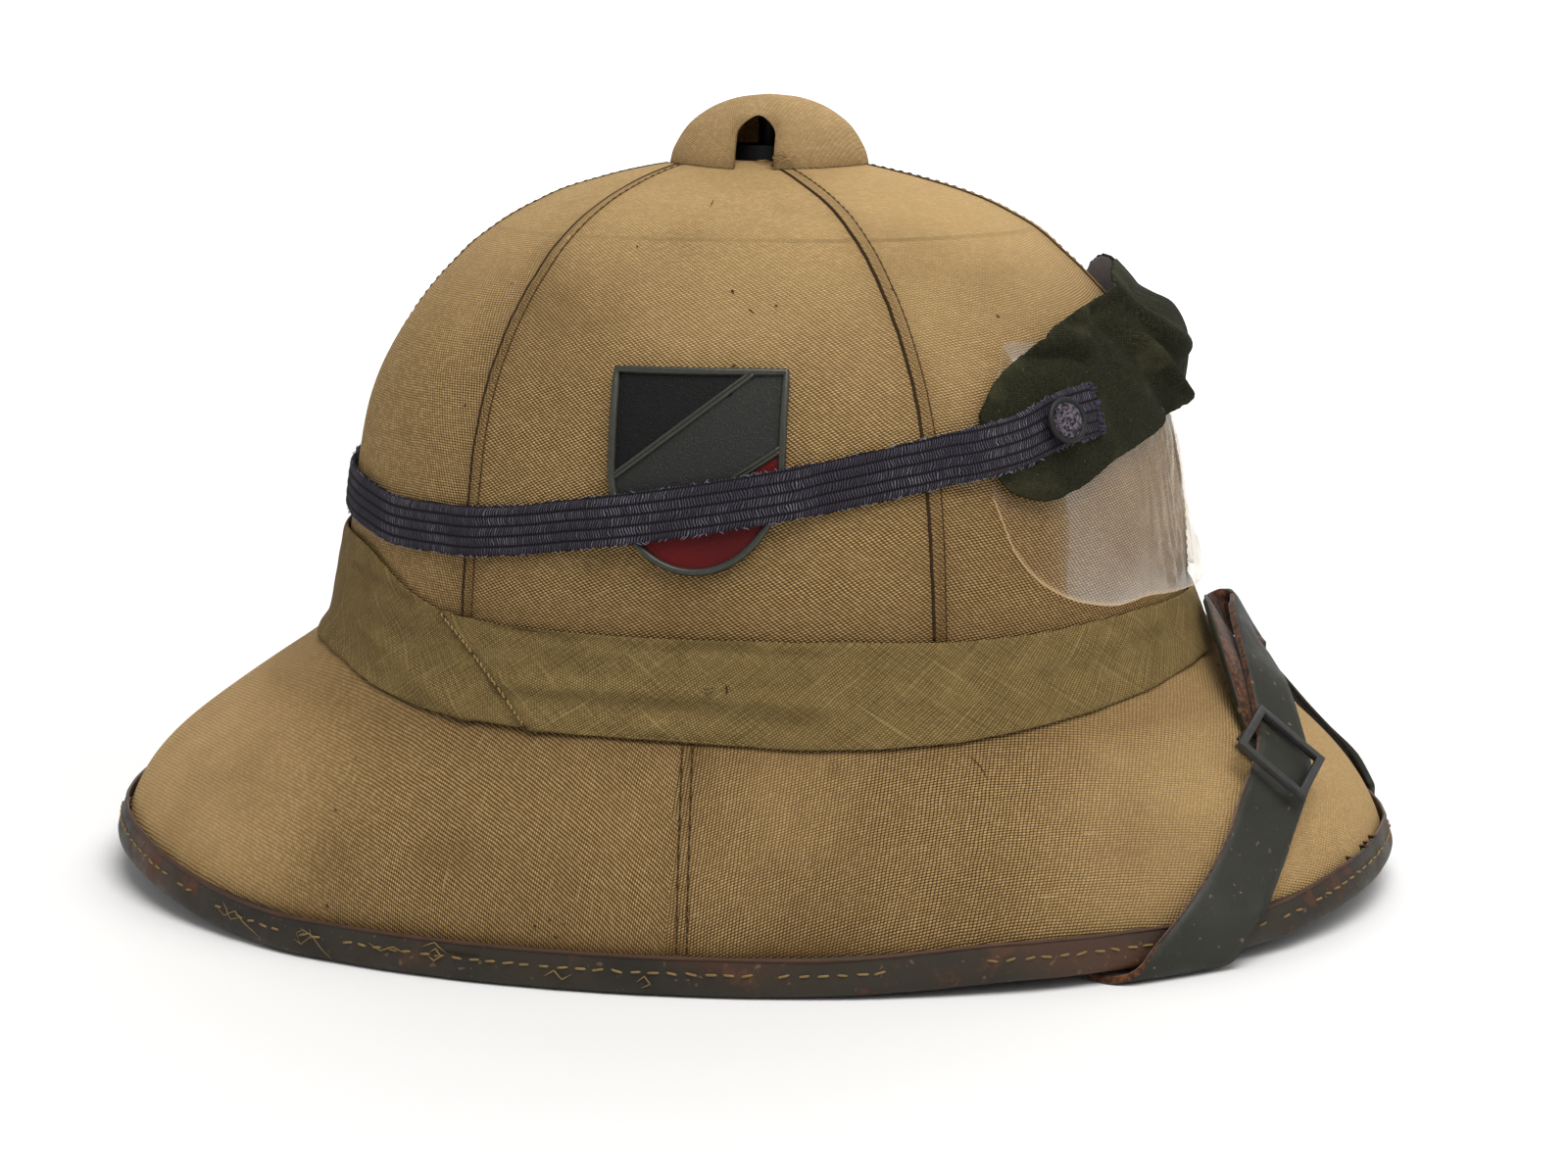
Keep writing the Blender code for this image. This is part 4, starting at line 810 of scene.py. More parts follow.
def build_crown():
    """Crown of six canvas panels, a little puckered at its seams."""
    item = cad_copy("crown", 3 if FINE else 2)

    def pucker(spot, way):
        near = math.exp(-seam_away(spot) / 0.006)
        slow = noise.noise(spot * 34.0) * 0.00045
        quick = noise.noise(Vector((spot.x * 60.0, spot.y * 60.0, spot.z * 190.0))) * 0.00028 * near
        return slow + quick

    move_out(item, pucker)
    surface = Surface(item)
    spots = blotch_spots(surface, CROWN_BLOTCHES)

    def grime_and_shade(spot, way):
        rise = (spot.z - CROWN_FOOT) / CROWN_RISE
        # Darker at the seams: dirt in the joints, with painted soft shade beside them.
        seam = 0.34 * math.exp(-seam_away(spot) / 0.0022) + 0.10 * math.exp(-seam_away(spot) / 0.009)
        # Darker just above the band and towards the bottom: partly painted shade.
        foot = 0.30 * math.exp(-max(rise - 0.09, 0.0) / 0.035) + 0.07 * smooth_step(0.45, 0.1, rise)
        # Painted light: lighter towards the top.
        painted_top_light = -0.10 * smooth_step(0.75, 0.98, rise)
        return max(seam + foot + painted_top_light + blotches_at(spots, spot), 0.0)

    mark(item, "grime_and_shade", grime_and_shade)

    def fuzz(spot, way):
        rear = smooth_step(-0.045, -0.095, spot.x) * 0.55
        return min(0.75 * smooth_step(0.150, 0.178, spot.z) + rear, 0.8)

    mark(item, "smooth", fuzz)

    # Painted light: the crown lighter towards the top and at the front.
    def fade_and_painted_light(spot, way):
        high = smooth_step(0.125, 0.180, spot.z)
        front = smooth_step(0.00, 0.07, spot.x) * smooth_step(0.100, 0.135, spot.z)
        return min(0.42 * high + 0.16 * front, 0.75)

    mark(item, "fade_and_painted_light", fade_and_painted_light)
    flat_map(item, crown_cloth_place)
    finish = shell_canvas("crown_canvas", 8.0, 0.34, linear(187, 154, 102), linear(54, 36, 15),
                          linear(201, 168, 118))
    return placed(item, finish, ["crown"])


BRIM_CONE = 0.70
BRIM_SEAM = (0.0022, 0.0065)
BRIM_CENTRE_REACH = 0.145


def brim_cloth_place(spot, half):
    """Flat place of a point on the brim's cover, cut in a front and a rear half."""
    if half is None:
        return 0.0 if spot.x > BRIM_SEAM[0] else 180.0
    turn = math.degrees(math.atan2(spot.y, spot.x - BRIM_SEAM[0]))
    away = (turn - half + 180.0) % 360.0 - 180.0
    a = math.radians(away * BRIM_CONE)
    foot = crown_point(turn, 0.0)
    reach = BRIM_CENTRE_REACH + math.hypot(spot.x - foot.x, spot.y - foot.y, spot.z - foot.z)
    return (reach * math.sin(a) + half, reach * math.cos(a))


def build_brim():
    """Flared canvas brim, grimy at its edge and along its side seams."""
    item = cad_copy("brim", 3 if FINE else 2)
    move_out(item, lambda spot, way: noise.noise(spot * 26.0) * 0.0005)
    surface = Surface(item)
    spots = blotch_spots(surface, BRIM_BLOTCHES)

    def grime_and_shade(spot, way):
        above = max(spot.z - BRIM_EDGE_TOP, 0.0)
        edge = 0.50 * math.exp(-above / 0.0022) + 0.16 * math.exp(-above / 0.009)
        # Painted shadow under the band's lower edge, darkest next to the crown.
        foot = 0.35 * math.exp(-max(0.052 - spot.z, 0.0) / 0.005)
        seam = 0.30 * math.exp(-abs(spot.x - sum(BRIM_SEAM) / 2) / 0.0025)
        return edge + foot + seam + blotches_at(spots, spot)

    mark(item, "grime_and_shade", grime_and_shade)

    def fuzz(spot, way):
        return 0.6 * smooth_step(-0.05, -0.12, spot.x) + 0.5 * smooth_step(0.11, 0.15, spot.x)

    mark(item, "smooth", fuzz)

    # Painted light: the brim lighter at its front and rear ends.
    def fade_and_painted_light(spot, way):
        return 0.5 * smooth_step(-0.07, -0.13, spot.x) + 0.45 * smooth_step(0.07, 0.13, spot.x)

    mark(item, "fade_and_painted_light", fade_and_painted_light)
    flat_map(item, brim_cloth_place)
    finish = shell_canvas("brim_canvas", 38.0, 0.34, linear(179, 147, 97), linear(58, 40, 18),
                          linear(195, 162, 112))
    return placed(item, finish, ["brim"])


# Mean reach of the band, and its length up the slope for each metre of height
BAND_REACH = 0.1
BAND_SLOPE = 1.25


def ring_place(spot, key):
    """Flat place round the crown, for the band."""
    if key is None:
        return spot_turn(spot)
    turn = spot_turn(spot)
    turn += 360.0 * round((key - turn) / 360.0)
    return (math.radians(turn) * BAND_REACH, spot.z * BAND_SLOPE)


# Lengthwise creases of the band: pixels of the photograph, height, width
BAND_CREASES = (
    (((510, 697), (570, 703), (640, 705), (740, 712), (850, 725)), 0.0011, 0.0020),
    (((520, 716), (600, 722), (700, 730), (820, 742)), -0.0006, 0.0026),
    (((470, 630), (500, 636), (580, 650), (690, 668)), -0.0008, 0.0016),
    (((690, 662), (760, 668), (850, 672)), -0.0005, 0.0014),
    (((1020, 690), (1100, 668), (1180, 636)), 0.0008, 0.0028),
    (((860, 700), (960, 712), (1060, 706)), 0.0005, 0.0030),
    (((350, 620), (400, 668), (450, 715), (500, 748)), 0.0009, 0.0024),
    (((340, 650), (390, 695), (440, 730)), -0.0006, 0.0022),
    (((560, 742), (660, 752), (760, 758)), -0.0007, 0.0018),
)
# Painted shadows along the band's folds: pixels of the photograph, darkness, width
BAND_SHADOWS = (
    (((470, 631), (500, 637), (545, 644), (580, 651)), 0.50, 0.0010),
    (((690, 655), (730, 657), (765, 658)), 0.35, 0.0009),
    (((360, 575), (385, 590), (420, 612)), 0.30, 0.0010),
    (((520, 708), (600, 713), (700, 722), (820, 736)), 0.22, 0.0016),
)
BAND_JOIN = ((450, 626), (478, 660), (510, 704), (545, 756))


def photo_line(surface, pixels, steps):
    """Points on a surface along a line of the photograph."""
    spots = []
    for (x0, y0), (x1, y1) in zip(pixels, pixels[1:]):
        for k in range(steps):
            spot, way = surface.photo(x0 + (x1 - x0) * k / steps, y0 + (y1 - y0) * k / steps)
            if spot:
                spots.append((spot, way))
    spot, way = surface.photo(*pixels[-1])
    if spot:
        spots.append((spot, way))
    return spots


def crease_field(surface, table):
    """How far creases along lines of the photograph lift a point."""
    lines = []
    for pixels, high, wide in table:
        lines.append(([spot for spot, _ in photo_line(surface, pixels, 12)], high, wide))

    def value(spot):
        total = 0.0
        for spots, high, wide in lines:
            near = min((spot - place).length_squared for place in spots)
            total += high * math.exp(-near / wide ** 2)
        return total

    return value


# Metres along the band for one degree of turn
BAND_DEGREE = 0.0018


def past_join(spot, join):
    """Metres past the band's slanting join, to the front."""
    along = min(join, key=lambda place: abs(place.z - spot.z))
    return (spot_turn(spot) - spot_turn(along)) * BAND_DEGREE


def build_band():
    """Soft bias band, folded under at its edges, creased, and joined at the right rear."""
    item = cad_copy("pagri_band", 3 if FINE else 2)
    surface = Surface(item)
    creases = crease_field(surface, BAND_CREASES)
    join = [spot for spot, _ in photo_line(surface, BAND_JOIN, 8)]

    def shape(spot, way):
        out = Vector((spot.x - CROWN_AHEAD, spot.y, 0.0)).normalized().dot(way)
        if out < 0.05:
            return 0.0
        turn = spot_turn(spot)
        amount = noise.noise(Vector((turn * 0.16, spot.z * 42.0, 3.0))) * 0.00050
        amount += noise.noise(Vector((turn * 0.05, spot.z * 180.0, 7.0))) * 0.00035
        if spot.y < 0.0:
            amount += creases(spot)
            past = past_join(spot, join)
            if -0.03 < past < 0.03:
                amount += 0.0009 * smooth_step(-0.0005, 0.0005, past) * smooth_step(0.026, 0.002, past)
        return amount

    move_out(item, shape)
    painted_fold_shadows = crease_field(surface, BAND_SHADOWS)

    def grime_and_shade(spot, way):
        # Painted shade: darker where the band faces down, along its join, and in the painted shadows of its
        # folds.
        value = 0.45 * smooth_step(0.15, 0.8, -way.z)
        if spot.y < 0.0:
            value += 0.55 * math.exp(-(past_join(spot, join) / 0.0010) ** 2) + painted_fold_shadows(spot)
        return value

    mark(item, "grime_and_shade", grime_and_shade)
    flat_map(item, ring_place)
    return placed(item, band_cloth(), ["pagri_band"])


def build_binding():
    """Leather strip folded over the rim, browner where it is worn."""
    item = cad_copy("rim_binding", 2)
    move_out(item, lambda spot, way: noise.noise(spot * 120.0) * 0.00018 * smooth_step(0.0, 0.001, spot.z))

    def wear(spot, way):
        return 0.8 * smooth_step(0.18, 0.5, noise.noise(spot * 24.0 + Vector((4.0, 0.0, 2.0))))

    mark(item, "wear", wear)
    finish = leather("binding_leather", linear(44, 37, 26), linear(84, 50, 32), 0.03, 0.55, 0.30)
    return placed(item, finish, ["rim_binding"])


def cap_foot(turn, radius, surface):
    a = math.radians(turn)
    x, y = CAP_CENTRE + radius * math.cos(a), radius * math.sin(a)
    spot, _ = surface.below(x, y)
    return Vector((x, y, spot.z))


# Share of the cap's height, and its reach as a share of the radius
CAP_PROFILE = curve_through((
    (0.0, 1.0), (0.16, 0.975), (0.30, 0.93), (0.54, 0.82), (0.735, 0.66), (0.885, 0.46), (0.97, 0.24), (1.0, 0.0),
))


def cap_place(spot, key):
    """Flat place on the cap's cloth, with another grain on each side of the arch."""
    if key is None:
        return 1.0 if spot.x > CAP_CENTRE else -1.0
    lean = math.radians(52.0 if key < 0 else 14.0)
    x, y = spot.x - CAP_CENTRE, spot.z * 1.6 + spot.y * 0.4
    return (x * math.cos(lean) - y * math.sin(lean), x * math.sin(lean) + y * math.cos(lean) + key)


def build_cap(crown):
    """Domed cap with an arched opening on each side."""
    surface = Surface(crown)
    segments, levels = (96, 26) if FINE else (48, 14)
    rows = []
    for inner in (False, True):
        wall = CAP_WALL if inner else 0.0
        part = []
        for k in range(levels):
            rise = 1.0 - (1.0 - k / (levels - 1)) ** 1.6
            share = max(CAP_PROFILE(rise), 0.0)
            row = []
            for s in range(segments):
                turn = 360.0 * s / segments
                radius = CAP_RADIUS - wall
                foot = cap_foot(turn, radius, surface)
                top = CAP_TOP - wall
                a = math.radians(turn)
                here = max(share, 0.004)
                z = foot.z + 0.0002 + (top - foot.z) * rise
                row.append(Vector((CAP_CENTRE + radius * here * math.cos(a), radius * here * math.sin(a), z)))
            part.append(row)
        rows.append(part)
    bag = Bag()
    bag.grid(rows[1][::-1] + rows[0], closed=True)
    item = bag.make("cap_made", plain("cap_raw", linear(120, 90, 50)))
    cap_holes(item)
    cutter = arch_cutter()
    apply_modifier(item, "BOOLEAN", operation="DIFFERENCE", object=cutter)
    bpy.data.objects.remove(cutter, do_unlink=True)
    apply_modifier(item, "BEVEL", width=0.00045, segments=2, limit_method="ANGLE",
                   angle_limit=math.radians(55))

    def grime_and_shade(spot, way):
        # Darker at the cap's foot and beside its arches.
        low = 0.20 * math.exp(-max(spot.z - 0.1825, 0.0) / 0.0015)
        beside = max(abs(spot.x - CAP_CENTRE) - ARCH_HALF - 0.0002, 0.0)
        arch = 0.35 * math.exp(-beside / 0.0012) * smooth_step(0.196, 0.193, spot.z)
        return low + arch

    mark(item, "grime_and_shade", grime_and_shade)
    mark(item, "smooth", lambda spot, way: 0.45)
    flat_map(item, cap_place)
    finish = shell_canvas("cap_canvas", 0.0, 0.0, linear(186, 156, 110), linear(140, 112, 72),
                          linear(200, 170, 124))
    return placed(item, finish, ["vent_cap"])


def cap_holes(item):
    """Close the small openings left at the cap's two poles."""
    select_only(item)
    bpy.ops.object.mode_set(mode="EDIT")
    bpy.ops.mesh.select_all(action="SELECT")
    bpy.ops.mesh.fill_holes(sides=0)
    bpy.ops.mesh.normals_make_consistent(inside=False)
    bpy.ops.object.mode_set(mode="OBJECT")


def arch_cutter():
    """Round-headed passage through the cap, from side to side."""
    half, top = ARCH_HALF, ARCH_TOP
    bpy.ops.mesh.primitive_cylinder_add(vertices=48, radius=half, depth=0.1, rotation=(math.pi / 2, 0.0, 0.0),
                                        location=(CAP_CENTRE, 0.0, top - half))
    head = bpy.context.active_object
    bpy.ops.object.transform_apply(location=True, rotation=True, scale=True)
    for vert in head.data.vertices:
        above = max(vert.co.z - (top - half), 0.0) / half
        vert.co.x = CAP_CENTRE + (vert.co.x - CAP_CENTRE) * (1.0 - 0.35 * above * above)
    bpy.ops.mesh.primitive_cube_add(size=1.0, location=(CAP_CENTRE, 0.0, top - half - 0.008))
    body = bpy.context.active_object
    body.scale = (half * 2, 0.1, 0.016)
    bpy.ops.object.transform_apply(location=True, rotation=True, scale=True)
    apply_modifier(head, "BOOLEAN", operation="UNION", object=body)
    bpy.data.objects.remove(body, do_unlink=True)
    return head


# Shield
BADGE_TURN = -91.0
BADGE_RISE = 0.405
BADGE_SIZE = (0.042, 0.048)
BADGE_PLATE = 0.0015
BADGE_RIBS = ((0.55, -0.115), (0.95, 0.36))


def badge_bend(x, y, out):
    """A point of the shield laid on the crown."""
    rise = BADGE_RISE + y / CROWN_RISE * 0.985
    turn = BADGE_TURN + x / arc_scale(BADGE_TURN, rise)
    return crown_point(turn, rise, out)


def shield_outline(inset=0.0):
    half, height = BADGE_SIZE[0] / 2 - inset, BADGE_SIZE[1] - 2 * inset
    straight = 0.48 * BADGE_SIZE[1] - inset
    curve = height - straight
    points = []
    for k in range(8):
        points.append((half, height / 2 - straight * k / 8))
    for k in range(25):
        a = math.radians(90.0 * k / 24)
        points.append((half * math.cos(a), height / 2 - straight - curve * math.sin(a)))
    left = [(-x, y) for x, y in reversed(points)][1:]
    count = 12
    top = [(-half + 2 * half * k / count, height / 2) for k in range(1, count)]
    return points + left + top


def inside_shield(x, y, inset):
    half, height = BADGE_SIZE[0] / 2 - inset, BADGE_SIZE[1] - 2 * inset
    straight = 0.48 * BADGE_SIZE[1] - inset
    if y > height / 2 or abs(x) > half:
        return False
    if y > height / 2 - straight:
        return True
    curve = height - straight
    return (x / half) ** 2 + ((height / 2 - straight - y) / curve) ** 2 <= 1.0


def rib_side(x, y, rib):
    """Distance above a rib's line, in the shield's plane."""
    start, stop = BADGE_RIBS[rib]
    width, height = BADGE_SIZE
    left, right = Vector((-width / 2, height * (0.5 - start))), Vector((width / 2, height * (0.5 - stop)))
    along = (right - left).normalized()
    return (Vector((x, y)) - left).dot(Vector((-along.y, along.x)))


def build_badge():
    """The shield's plate, with its three painted fields."""
    inset = 0.0007
    outline = shield_outline(inset)
    bag = Bag()
    rings = 24
    rows = []
    for k in range(rings + 1):
        share = max(k / rings, 0.002)
        rows.append([badge_bend(x * share, y * share, BADGE_PLATE) for x, y in outline])
    bag.grid(rows, closed=True)
    face_edge = [badge_bend(x, y, BADGE_PLATE) for x, y in outline]
    foot_edge = [badge_bend(x, y, 0.0003) for x, y in outline]
    bag.grid([face_edge, foot_edge], closed=True)
    finishes = [
        enamel("badge_black", linear(7, 7, 7), linear(26, 26, 25), 0.0004),
        enamel("badge_grey", linear(38, 39, 36), linear(70, 70, 66), 0.0004),
        enamel("badge_red", linear(88, 9, 12), linear(112, 16, 20), 0.0002),
    ]
    item = bag.make("badge_fields", finishes, "badge_paint", ["badge"])
    for face in item.data.polygons:
        rise = (face.center.z - CROWN_FOOT) / CROWN_RISE
        x = (spot_turn(face.center) - BADGE_TURN) * arc_scale(BADGE_TURN, rise)
        y = (rise - BADGE_RISE) * CROWN_RISE / 0.985
        if rib_side(x, y, 0) > 0.0:
            face.material_index = 0
        elif rib_side(x, y, 1) > 0.0:
            face.material_index = 1
        else:
            face.material_index = 2
    red_middle = badge_bend(0.007, -0.0155, BADGE_PLATE)

    def middle(spot, way):
        return 0.55 * math.exp(-((spot - red_middle).length / 0.0075) ** 2) if spot.z < 0.110 else 0.0

    mark(item, "middle", middle)


def build_badge_frame():
    """The shield's raised rim and its two slanting ribs, each of two rods."""
    frame_bag = Bag()
    rim = [badge_bend(x, y, BADGE_PLATE + 0.0001) for x, y in shield_outline(0.00085)]
    ups = [crown_normal(spot_turn(spot), spot_rise(spot)) for spot in rim]
    frame_bag.tube(rim, ups, 0.00095, 0.0011, 12, closed=True)
    for start, stop in BADGE_RIBS:
        path, lifts = [], []
        for k in range(41):
            x = BADGE_SIZE[0] * (k / 40 - 0.5)
            y = BADGE_SIZE[1] * (0.5 - start - (stop - start) * k / 40)
            if inside_shield(x, y, 0.0006):
                path.append(badge_bend(x, y, BADGE_PLATE))
                lifts.append(crown_normal(spot_turn(path[-1]), spot_rise(path[-1])))
        for shift in (-0.00042, 0.00042):
            moved = []
            for spot, up in zip(path, lifts):
                side = (path[-1] - path[0]).normalized().cross(up)
                moved.append(spot + side * shift)
            frame_bag.tube(moved, lifts, 0.00052, 0.0008, 8)
    metal = plain("badge_metal", linear(66, 66, 60), 0.38, 0.5, 0.35, 900.0, 0.0001)
    frame_bag.make("badge_frame", metal, "badge_paint")


# Turn from the front, lower and upper edge as shares of the crown's rise, and how far
# the lower edge, the middle and the upper edge stand off the crown
CLOTH_SECTIONS = (
    (0.0, 0.470, 0.740, 0.0042, 0.0115, 0.0056),
    (6.0, 0.466, 0.732, 0.0038, 0.0108, 0.0056),
    (11.0, 0.458, 0.716, 0.0030, 0.0092, 0.0054),
    (16.0, 0.440, 0.701, 0.0022, 0.0068, 0.0048),
    (22.0, 0.424, 0.692, 0.0018, 0.0044, 0.0034),
    (30.0, 0.398, 0.674, 0.0016, 0.0026, 0.0024),
    (38.0, 0.352, 0.640, 0.0014, 0.0018, 0.0017),
    (44.0, 0.335, 0.610, 0.0014, 0.0015, 0.0014),
    (49.0, 0.352, 0.572, 0.0014, 0.0014, 0.0014),
    (53.0, 0.420, 0.510, 0.0014, 0.0014, 0.0014),
)
GOGGLE_END = 53.0
LENS_ROOM = 0.00175
CLOTH_THICK = 0.0009
cloth_low, cloth_high, stand_low, stand_middle, stand_high = (
    curve_through([(row[0], row[column]) for row in CLOTH_SECTIONS]) for column in range(1, 6))


def cloth_edges(turn):
    side = abs(turn)
    low, high = cloth_low(side), cloth_high(side)
    high += 0.042 * hill(turn, 22.0, 11.0)
    ragged = noise.noise(Vector((turn * 0.9, 2.0, 0.0))) * 0.004
    return low + ragged * 0.6, high + ragged


def cloth_stand(turn, share):
    """How far the cloth's inner face stands off the crown."""
    side = abs(turn)
    lower, middle, upper = stand_low(side), stand_middle(side), stand_high(side)
    upper = max(upper, 0.0058 * hill(turn, 18.0, 16.0))
    stand = lower + (middle - lower) * smooth_step(0.0, 0.58, share)
    stand += (upper - middle) * smooth_step(0.58, 0.84, share)
    stand += 0.0016 * smooth_step(0.5, 1.0, share) * hill(turn, 12.0, 12.0)
    soft = noise.noise(Vector((turn * 0.09, share * 2.6, 4.0))) * 0.0007
    return max(stand + soft, LENS_ROOM)


# Folds of the goggles' cloth: pixels of the photograph, height, width
CLOTH_FOLDS = (
    (((1163, 350), (1178, 362), (1192, 380), (1204, 400), (1210, 414)), 0.0017, 0.0016),
    (((1128, 292), (1145, 310), (1165, 326), (1190, 342), (1204, 352)), 0.0015, 0.0030),
    (((1118, 330), (1140, 345), (1162, 368), (1180, 394), (1192, 416)), -0.0020, 0.0036),
    (((1150, 318), (1172, 338), (1196, 362), (1206, 378)), -0.0012, 0.0022),
    (((1044, 362), (1064, 365), (1086, 363), (1106, 368)), -0.0014, 0.0017),
    (((1062, 350), (1084, 345), (1104, 350)), 0.0013, 0.0026),
    (((1030, 478), (1048, 496), (1072, 500)), 0.0008, 0.0022),
    (((1098, 322), (1116, 332), (1130, 350)), 0.0008, 0.0026),
)


def build_cloth():
    """Fabric of the goggles, lying on the crown at both ends and standing off between."""
    columns, levels = (200, 56) if FINE else (110, 30)
    rows = []
    for r in range(levels + 1):
        share = r / levels
        row = []
        for c in range(columns + 1):
            turn = GOGGLE_END * (2.0 * c / columns - 1.0)
            low, high = cloth_edges(turn)
            rise = low + (high - low) * share
            curl = 0.0016 * smooth_step(0.92, 1.0, share) * hill(turn, -22.0, 9.0)
            row.append(crown_point(turn, rise, cloth_stand(turn, share) + curl))
        rows.append(row)
    bag = Bag()
    bag.grid(rows)
    lining = plain("goggle_lining", linear(146, 158, 196), 0.9, 0.0, 0.2, 500.0, 0.0001)
    item = bag.make("goggle_fabric_front", [goggle_fabric(), lining], "goggle_cloth", ["goggle_cloth"])
    folds = crease_field(Surface(item), CLOTH_FOLDS)
    # Painted highlight along the first fold's ridge, partly a rubbed line.
    bright = crease_field(Surface(item), ((CLOTH_FOLDS[0][0], 0.75, 0.0007),))

    def fold(spot, way):
        if spot.y > 0.004:
            return noise.noise(spot * 70.0) * 0.0008
        lift = folds(spot)
        return lift * (1.6 if lift > 0.0 else 1.15)

    move_out(item, fold)

    def place(spot, key):
        return 0.0 if key is None else (math.radians(spot_turn(spot)) * 0.1, spot.z * 1.2)

    flat_map(item, place)
    mark(item, "rub_and_highlight", lambda spot, way: bright(spot) if spot.y < 0.0 else 0.0)
    apply_modifier(item, "SOLIDIFY", thickness=CLOTH_THICK, offset=1.0, material_offset=1,
                   material_offset_rim=0, use_rim=True)
    return item


# Turn from the front, lower and upper edge as shares of the crown's rise, and stand off it
LENS_SECTIONS = (
    (6.0, 0.110, 0.600, 0.0030),
    (12.0, 0.102, 0.615, 0.0026),
    (18.0, 0.103, 0.615, 0.0016),
    (24.0, 0.108, 0.620, 0.0009),
    (31.0, 0.102, 0.630, 0.0005),
    (38.0, 0.118, 0.640, 0.0004),
    (44.0, 0.156, 0.645, 0.0004),
    (49.0, 0.230, 0.560, 0.0004),
    (52.0, 0.345, 0.480, 0.0004),
)


def build_lens(side, name):
    """Clear film on the crown, crumpled at the front."""
    low, high, stand = (
        curve_through([(row[0], row[column]) for row in LENS_SECTIONS]) for column in (1, 2, 3))
    first, last = LENS_SECTIONS[0][0], LENS_SECTIONS[-1][0]
    columns, levels = (110, 100) if FINE else (50, 46)
    seed = 11.0 if side < 0 else 37.0
    loose = 1.0 if side < 0 else 0.35
    rows = []
    for r in range(levels + 1):
        share = r / levels
        flare = 0.0009 * smooth_step(0.40, 0.02, share) if side < 0 else 0.0
        row = []
        for c in range(columns + 1):
            turn = first + (last - first) * c / columns
            rise = low(turn) + (high(turn) - low(turn)) * share
            front = smooth_step(26.0, 8.0, turn)
            off = 0.0007 + loose * stand(turn) * (0.45 + 0.55 * (1.0 - smooth_step(0.0, 0.35, share)))
            off += loose * front * 0.0014 * abs(noise.noise(Vector((turn * 0.32, share * 3.4, seed))))
            off += loose * front * 0.0010 * abs(noise.noise(Vector((turn * 0.75, share * 7.0, seed + 3.0))))
            off += 0.00022 * noise.noise(Vector((turn * 0.12, share * 3.0, seed + 9.0)))
            off = min(off, 0.0005 + 0.0052 * (1.0 - share)) + flare * smooth_step(19.0, 8.0, turn)
            row.append(crown_point(side * turn, rise, max(off, 0.0005)))
        rows.append(row)
    if side > 0:
        rows = [row[::-1] for row in rows]
    bag = Bag()
    bag.grid(rows)
    item = bag.make(name + "_film", CLEAR, "clear_sheet", [name])

    def haze(spot, way):
        turn, rise = abs(spot_turn(spot)), (spot.z - CROWN_FOOT) / CROWN_RISE
        edge = 0.55 * hill(rise, low(turn), 0.007)
        return edge + 0.10 * smooth_step(14.0, 7.0, turn)

    mark(item, "haze", haze)
    return item


# Turn from the front, and the elastic's middle as a share of the crown's rise
ELASTIC_ROUTE = (
    (31.0, 0.502), (39.5, 0.488), (48.0, 0.452), (61.0, 0.419), (80.0, 0.364), (102.0, 0.306),
    (124.0, 0.262), (138.0, 0.258), (149.0, 0.274), (165.0, 0.290), (180.0, 0.295),
)
ELASTIC_START = 33.0
elastic_rise = curve_through(ELASTIC_ROUTE)


def elastic_base(turn, rise):
    """How far the elastic's inner face stands off the crown."""
    low, high = cloth_edges(max(min(turn, GOGGLE_END), -GOGGLE_END))
    share = min(max((rise - low) / (high - low), 0.0), 1.0)
    over_cloth = cloth_stand(max(min(turn, GOGGLE_END), -GOGGLE_END), share) + 0.0013
    scale = arc_scale(BADGE_TURN, rise)
    heights = [
        (over_cloth, abs(turn) - GOGGLE_END - 1.0, 7.0),
        (0.0030, abs(turn - BADGE_TURN) - BADGE_SIZE[0] / 2 / scale - 0.6, 5.0),
    ]
    for seam in SEAM_TURNS:
        away = abs((turn - seam_turn(seam, rise) + 180.0) % 360.0 - 180.0)
        heights.append((0.0015, away - 1.4, 4.0))
    lifts = [(height - ELASTIC_GAP) * (1.0 - smooth_step(0.0, ease, away)) for height, away, ease in heights]
    return ELASTIC_GAP + max(lifts)


def build_elastic():
    """Woven elastic round the back, from one end of the goggles to the other."""
    across, count = 21, 560 if FINE else 240
    rows = []
    start = ELASTIC_START
    for k in range(count + 1):
        turn = -start - (360.0 - 2 * start) * k / count
        near = (turn + 180.0) % 360.0 - 180.0
        middle = elastic_rise(abs(near))
        row = []
        for s in range(across):
            share = s / (across - 1) - 0.5
            wave = noise.noise(Vector((turn * 0.25, 1.0, 0.0))) * 0.0012
            rise = middle + (share * ELASTIC_WIDTH * 0.985 + wave * 0.3) / CROWN_RISE
            rib = 0.00028 * abs(math.sin(math.pi * ELASTIC_RIBS * (share + 0.5))) ** 0.7
            edge = 0.00035 * (abs(share) * 2.0) ** 6
            row.append(crown_point(turn, rise, elastic_base(near, middle) + ELASTIC_THICK + rib - edge))
        for s in (across - 1, 0):
            share = s / (across - 1) - 0.5
            rise = middle + share * ELASTIC_WIDTH * 0.96 / CROWN_RISE
            row.append(crown_point(turn, rise, elastic_base(near, middle)))
        rows.append(row)
    bag = Bag()
    bag.grid(rows, closed=True)
    columns = across + 2
    bag.faces.append(tuple(range(columns)))
    bag.faces.append(tuple(reversed(range(count * columns, (count + 1) * columns))))
    item = bag.make("goggle_elastic_web", ELASTIC, "elastic_web", ["goggle_elastic"])

    def place(spot, key):
        turn = spot_turn(spot) % 360.0
        if key is None:
            return turn
        rise = (spot.z - CROWN_FOOT) / CROWN_RISE
        middle = elastic_rise(min(turn, 360.0 - turn))
        return (math.radians(turn) * 0.098, (rise - middle) * CROWN_RISE + ELASTIC_WIDTH / 2)

    flat_map(item, place)
    return item


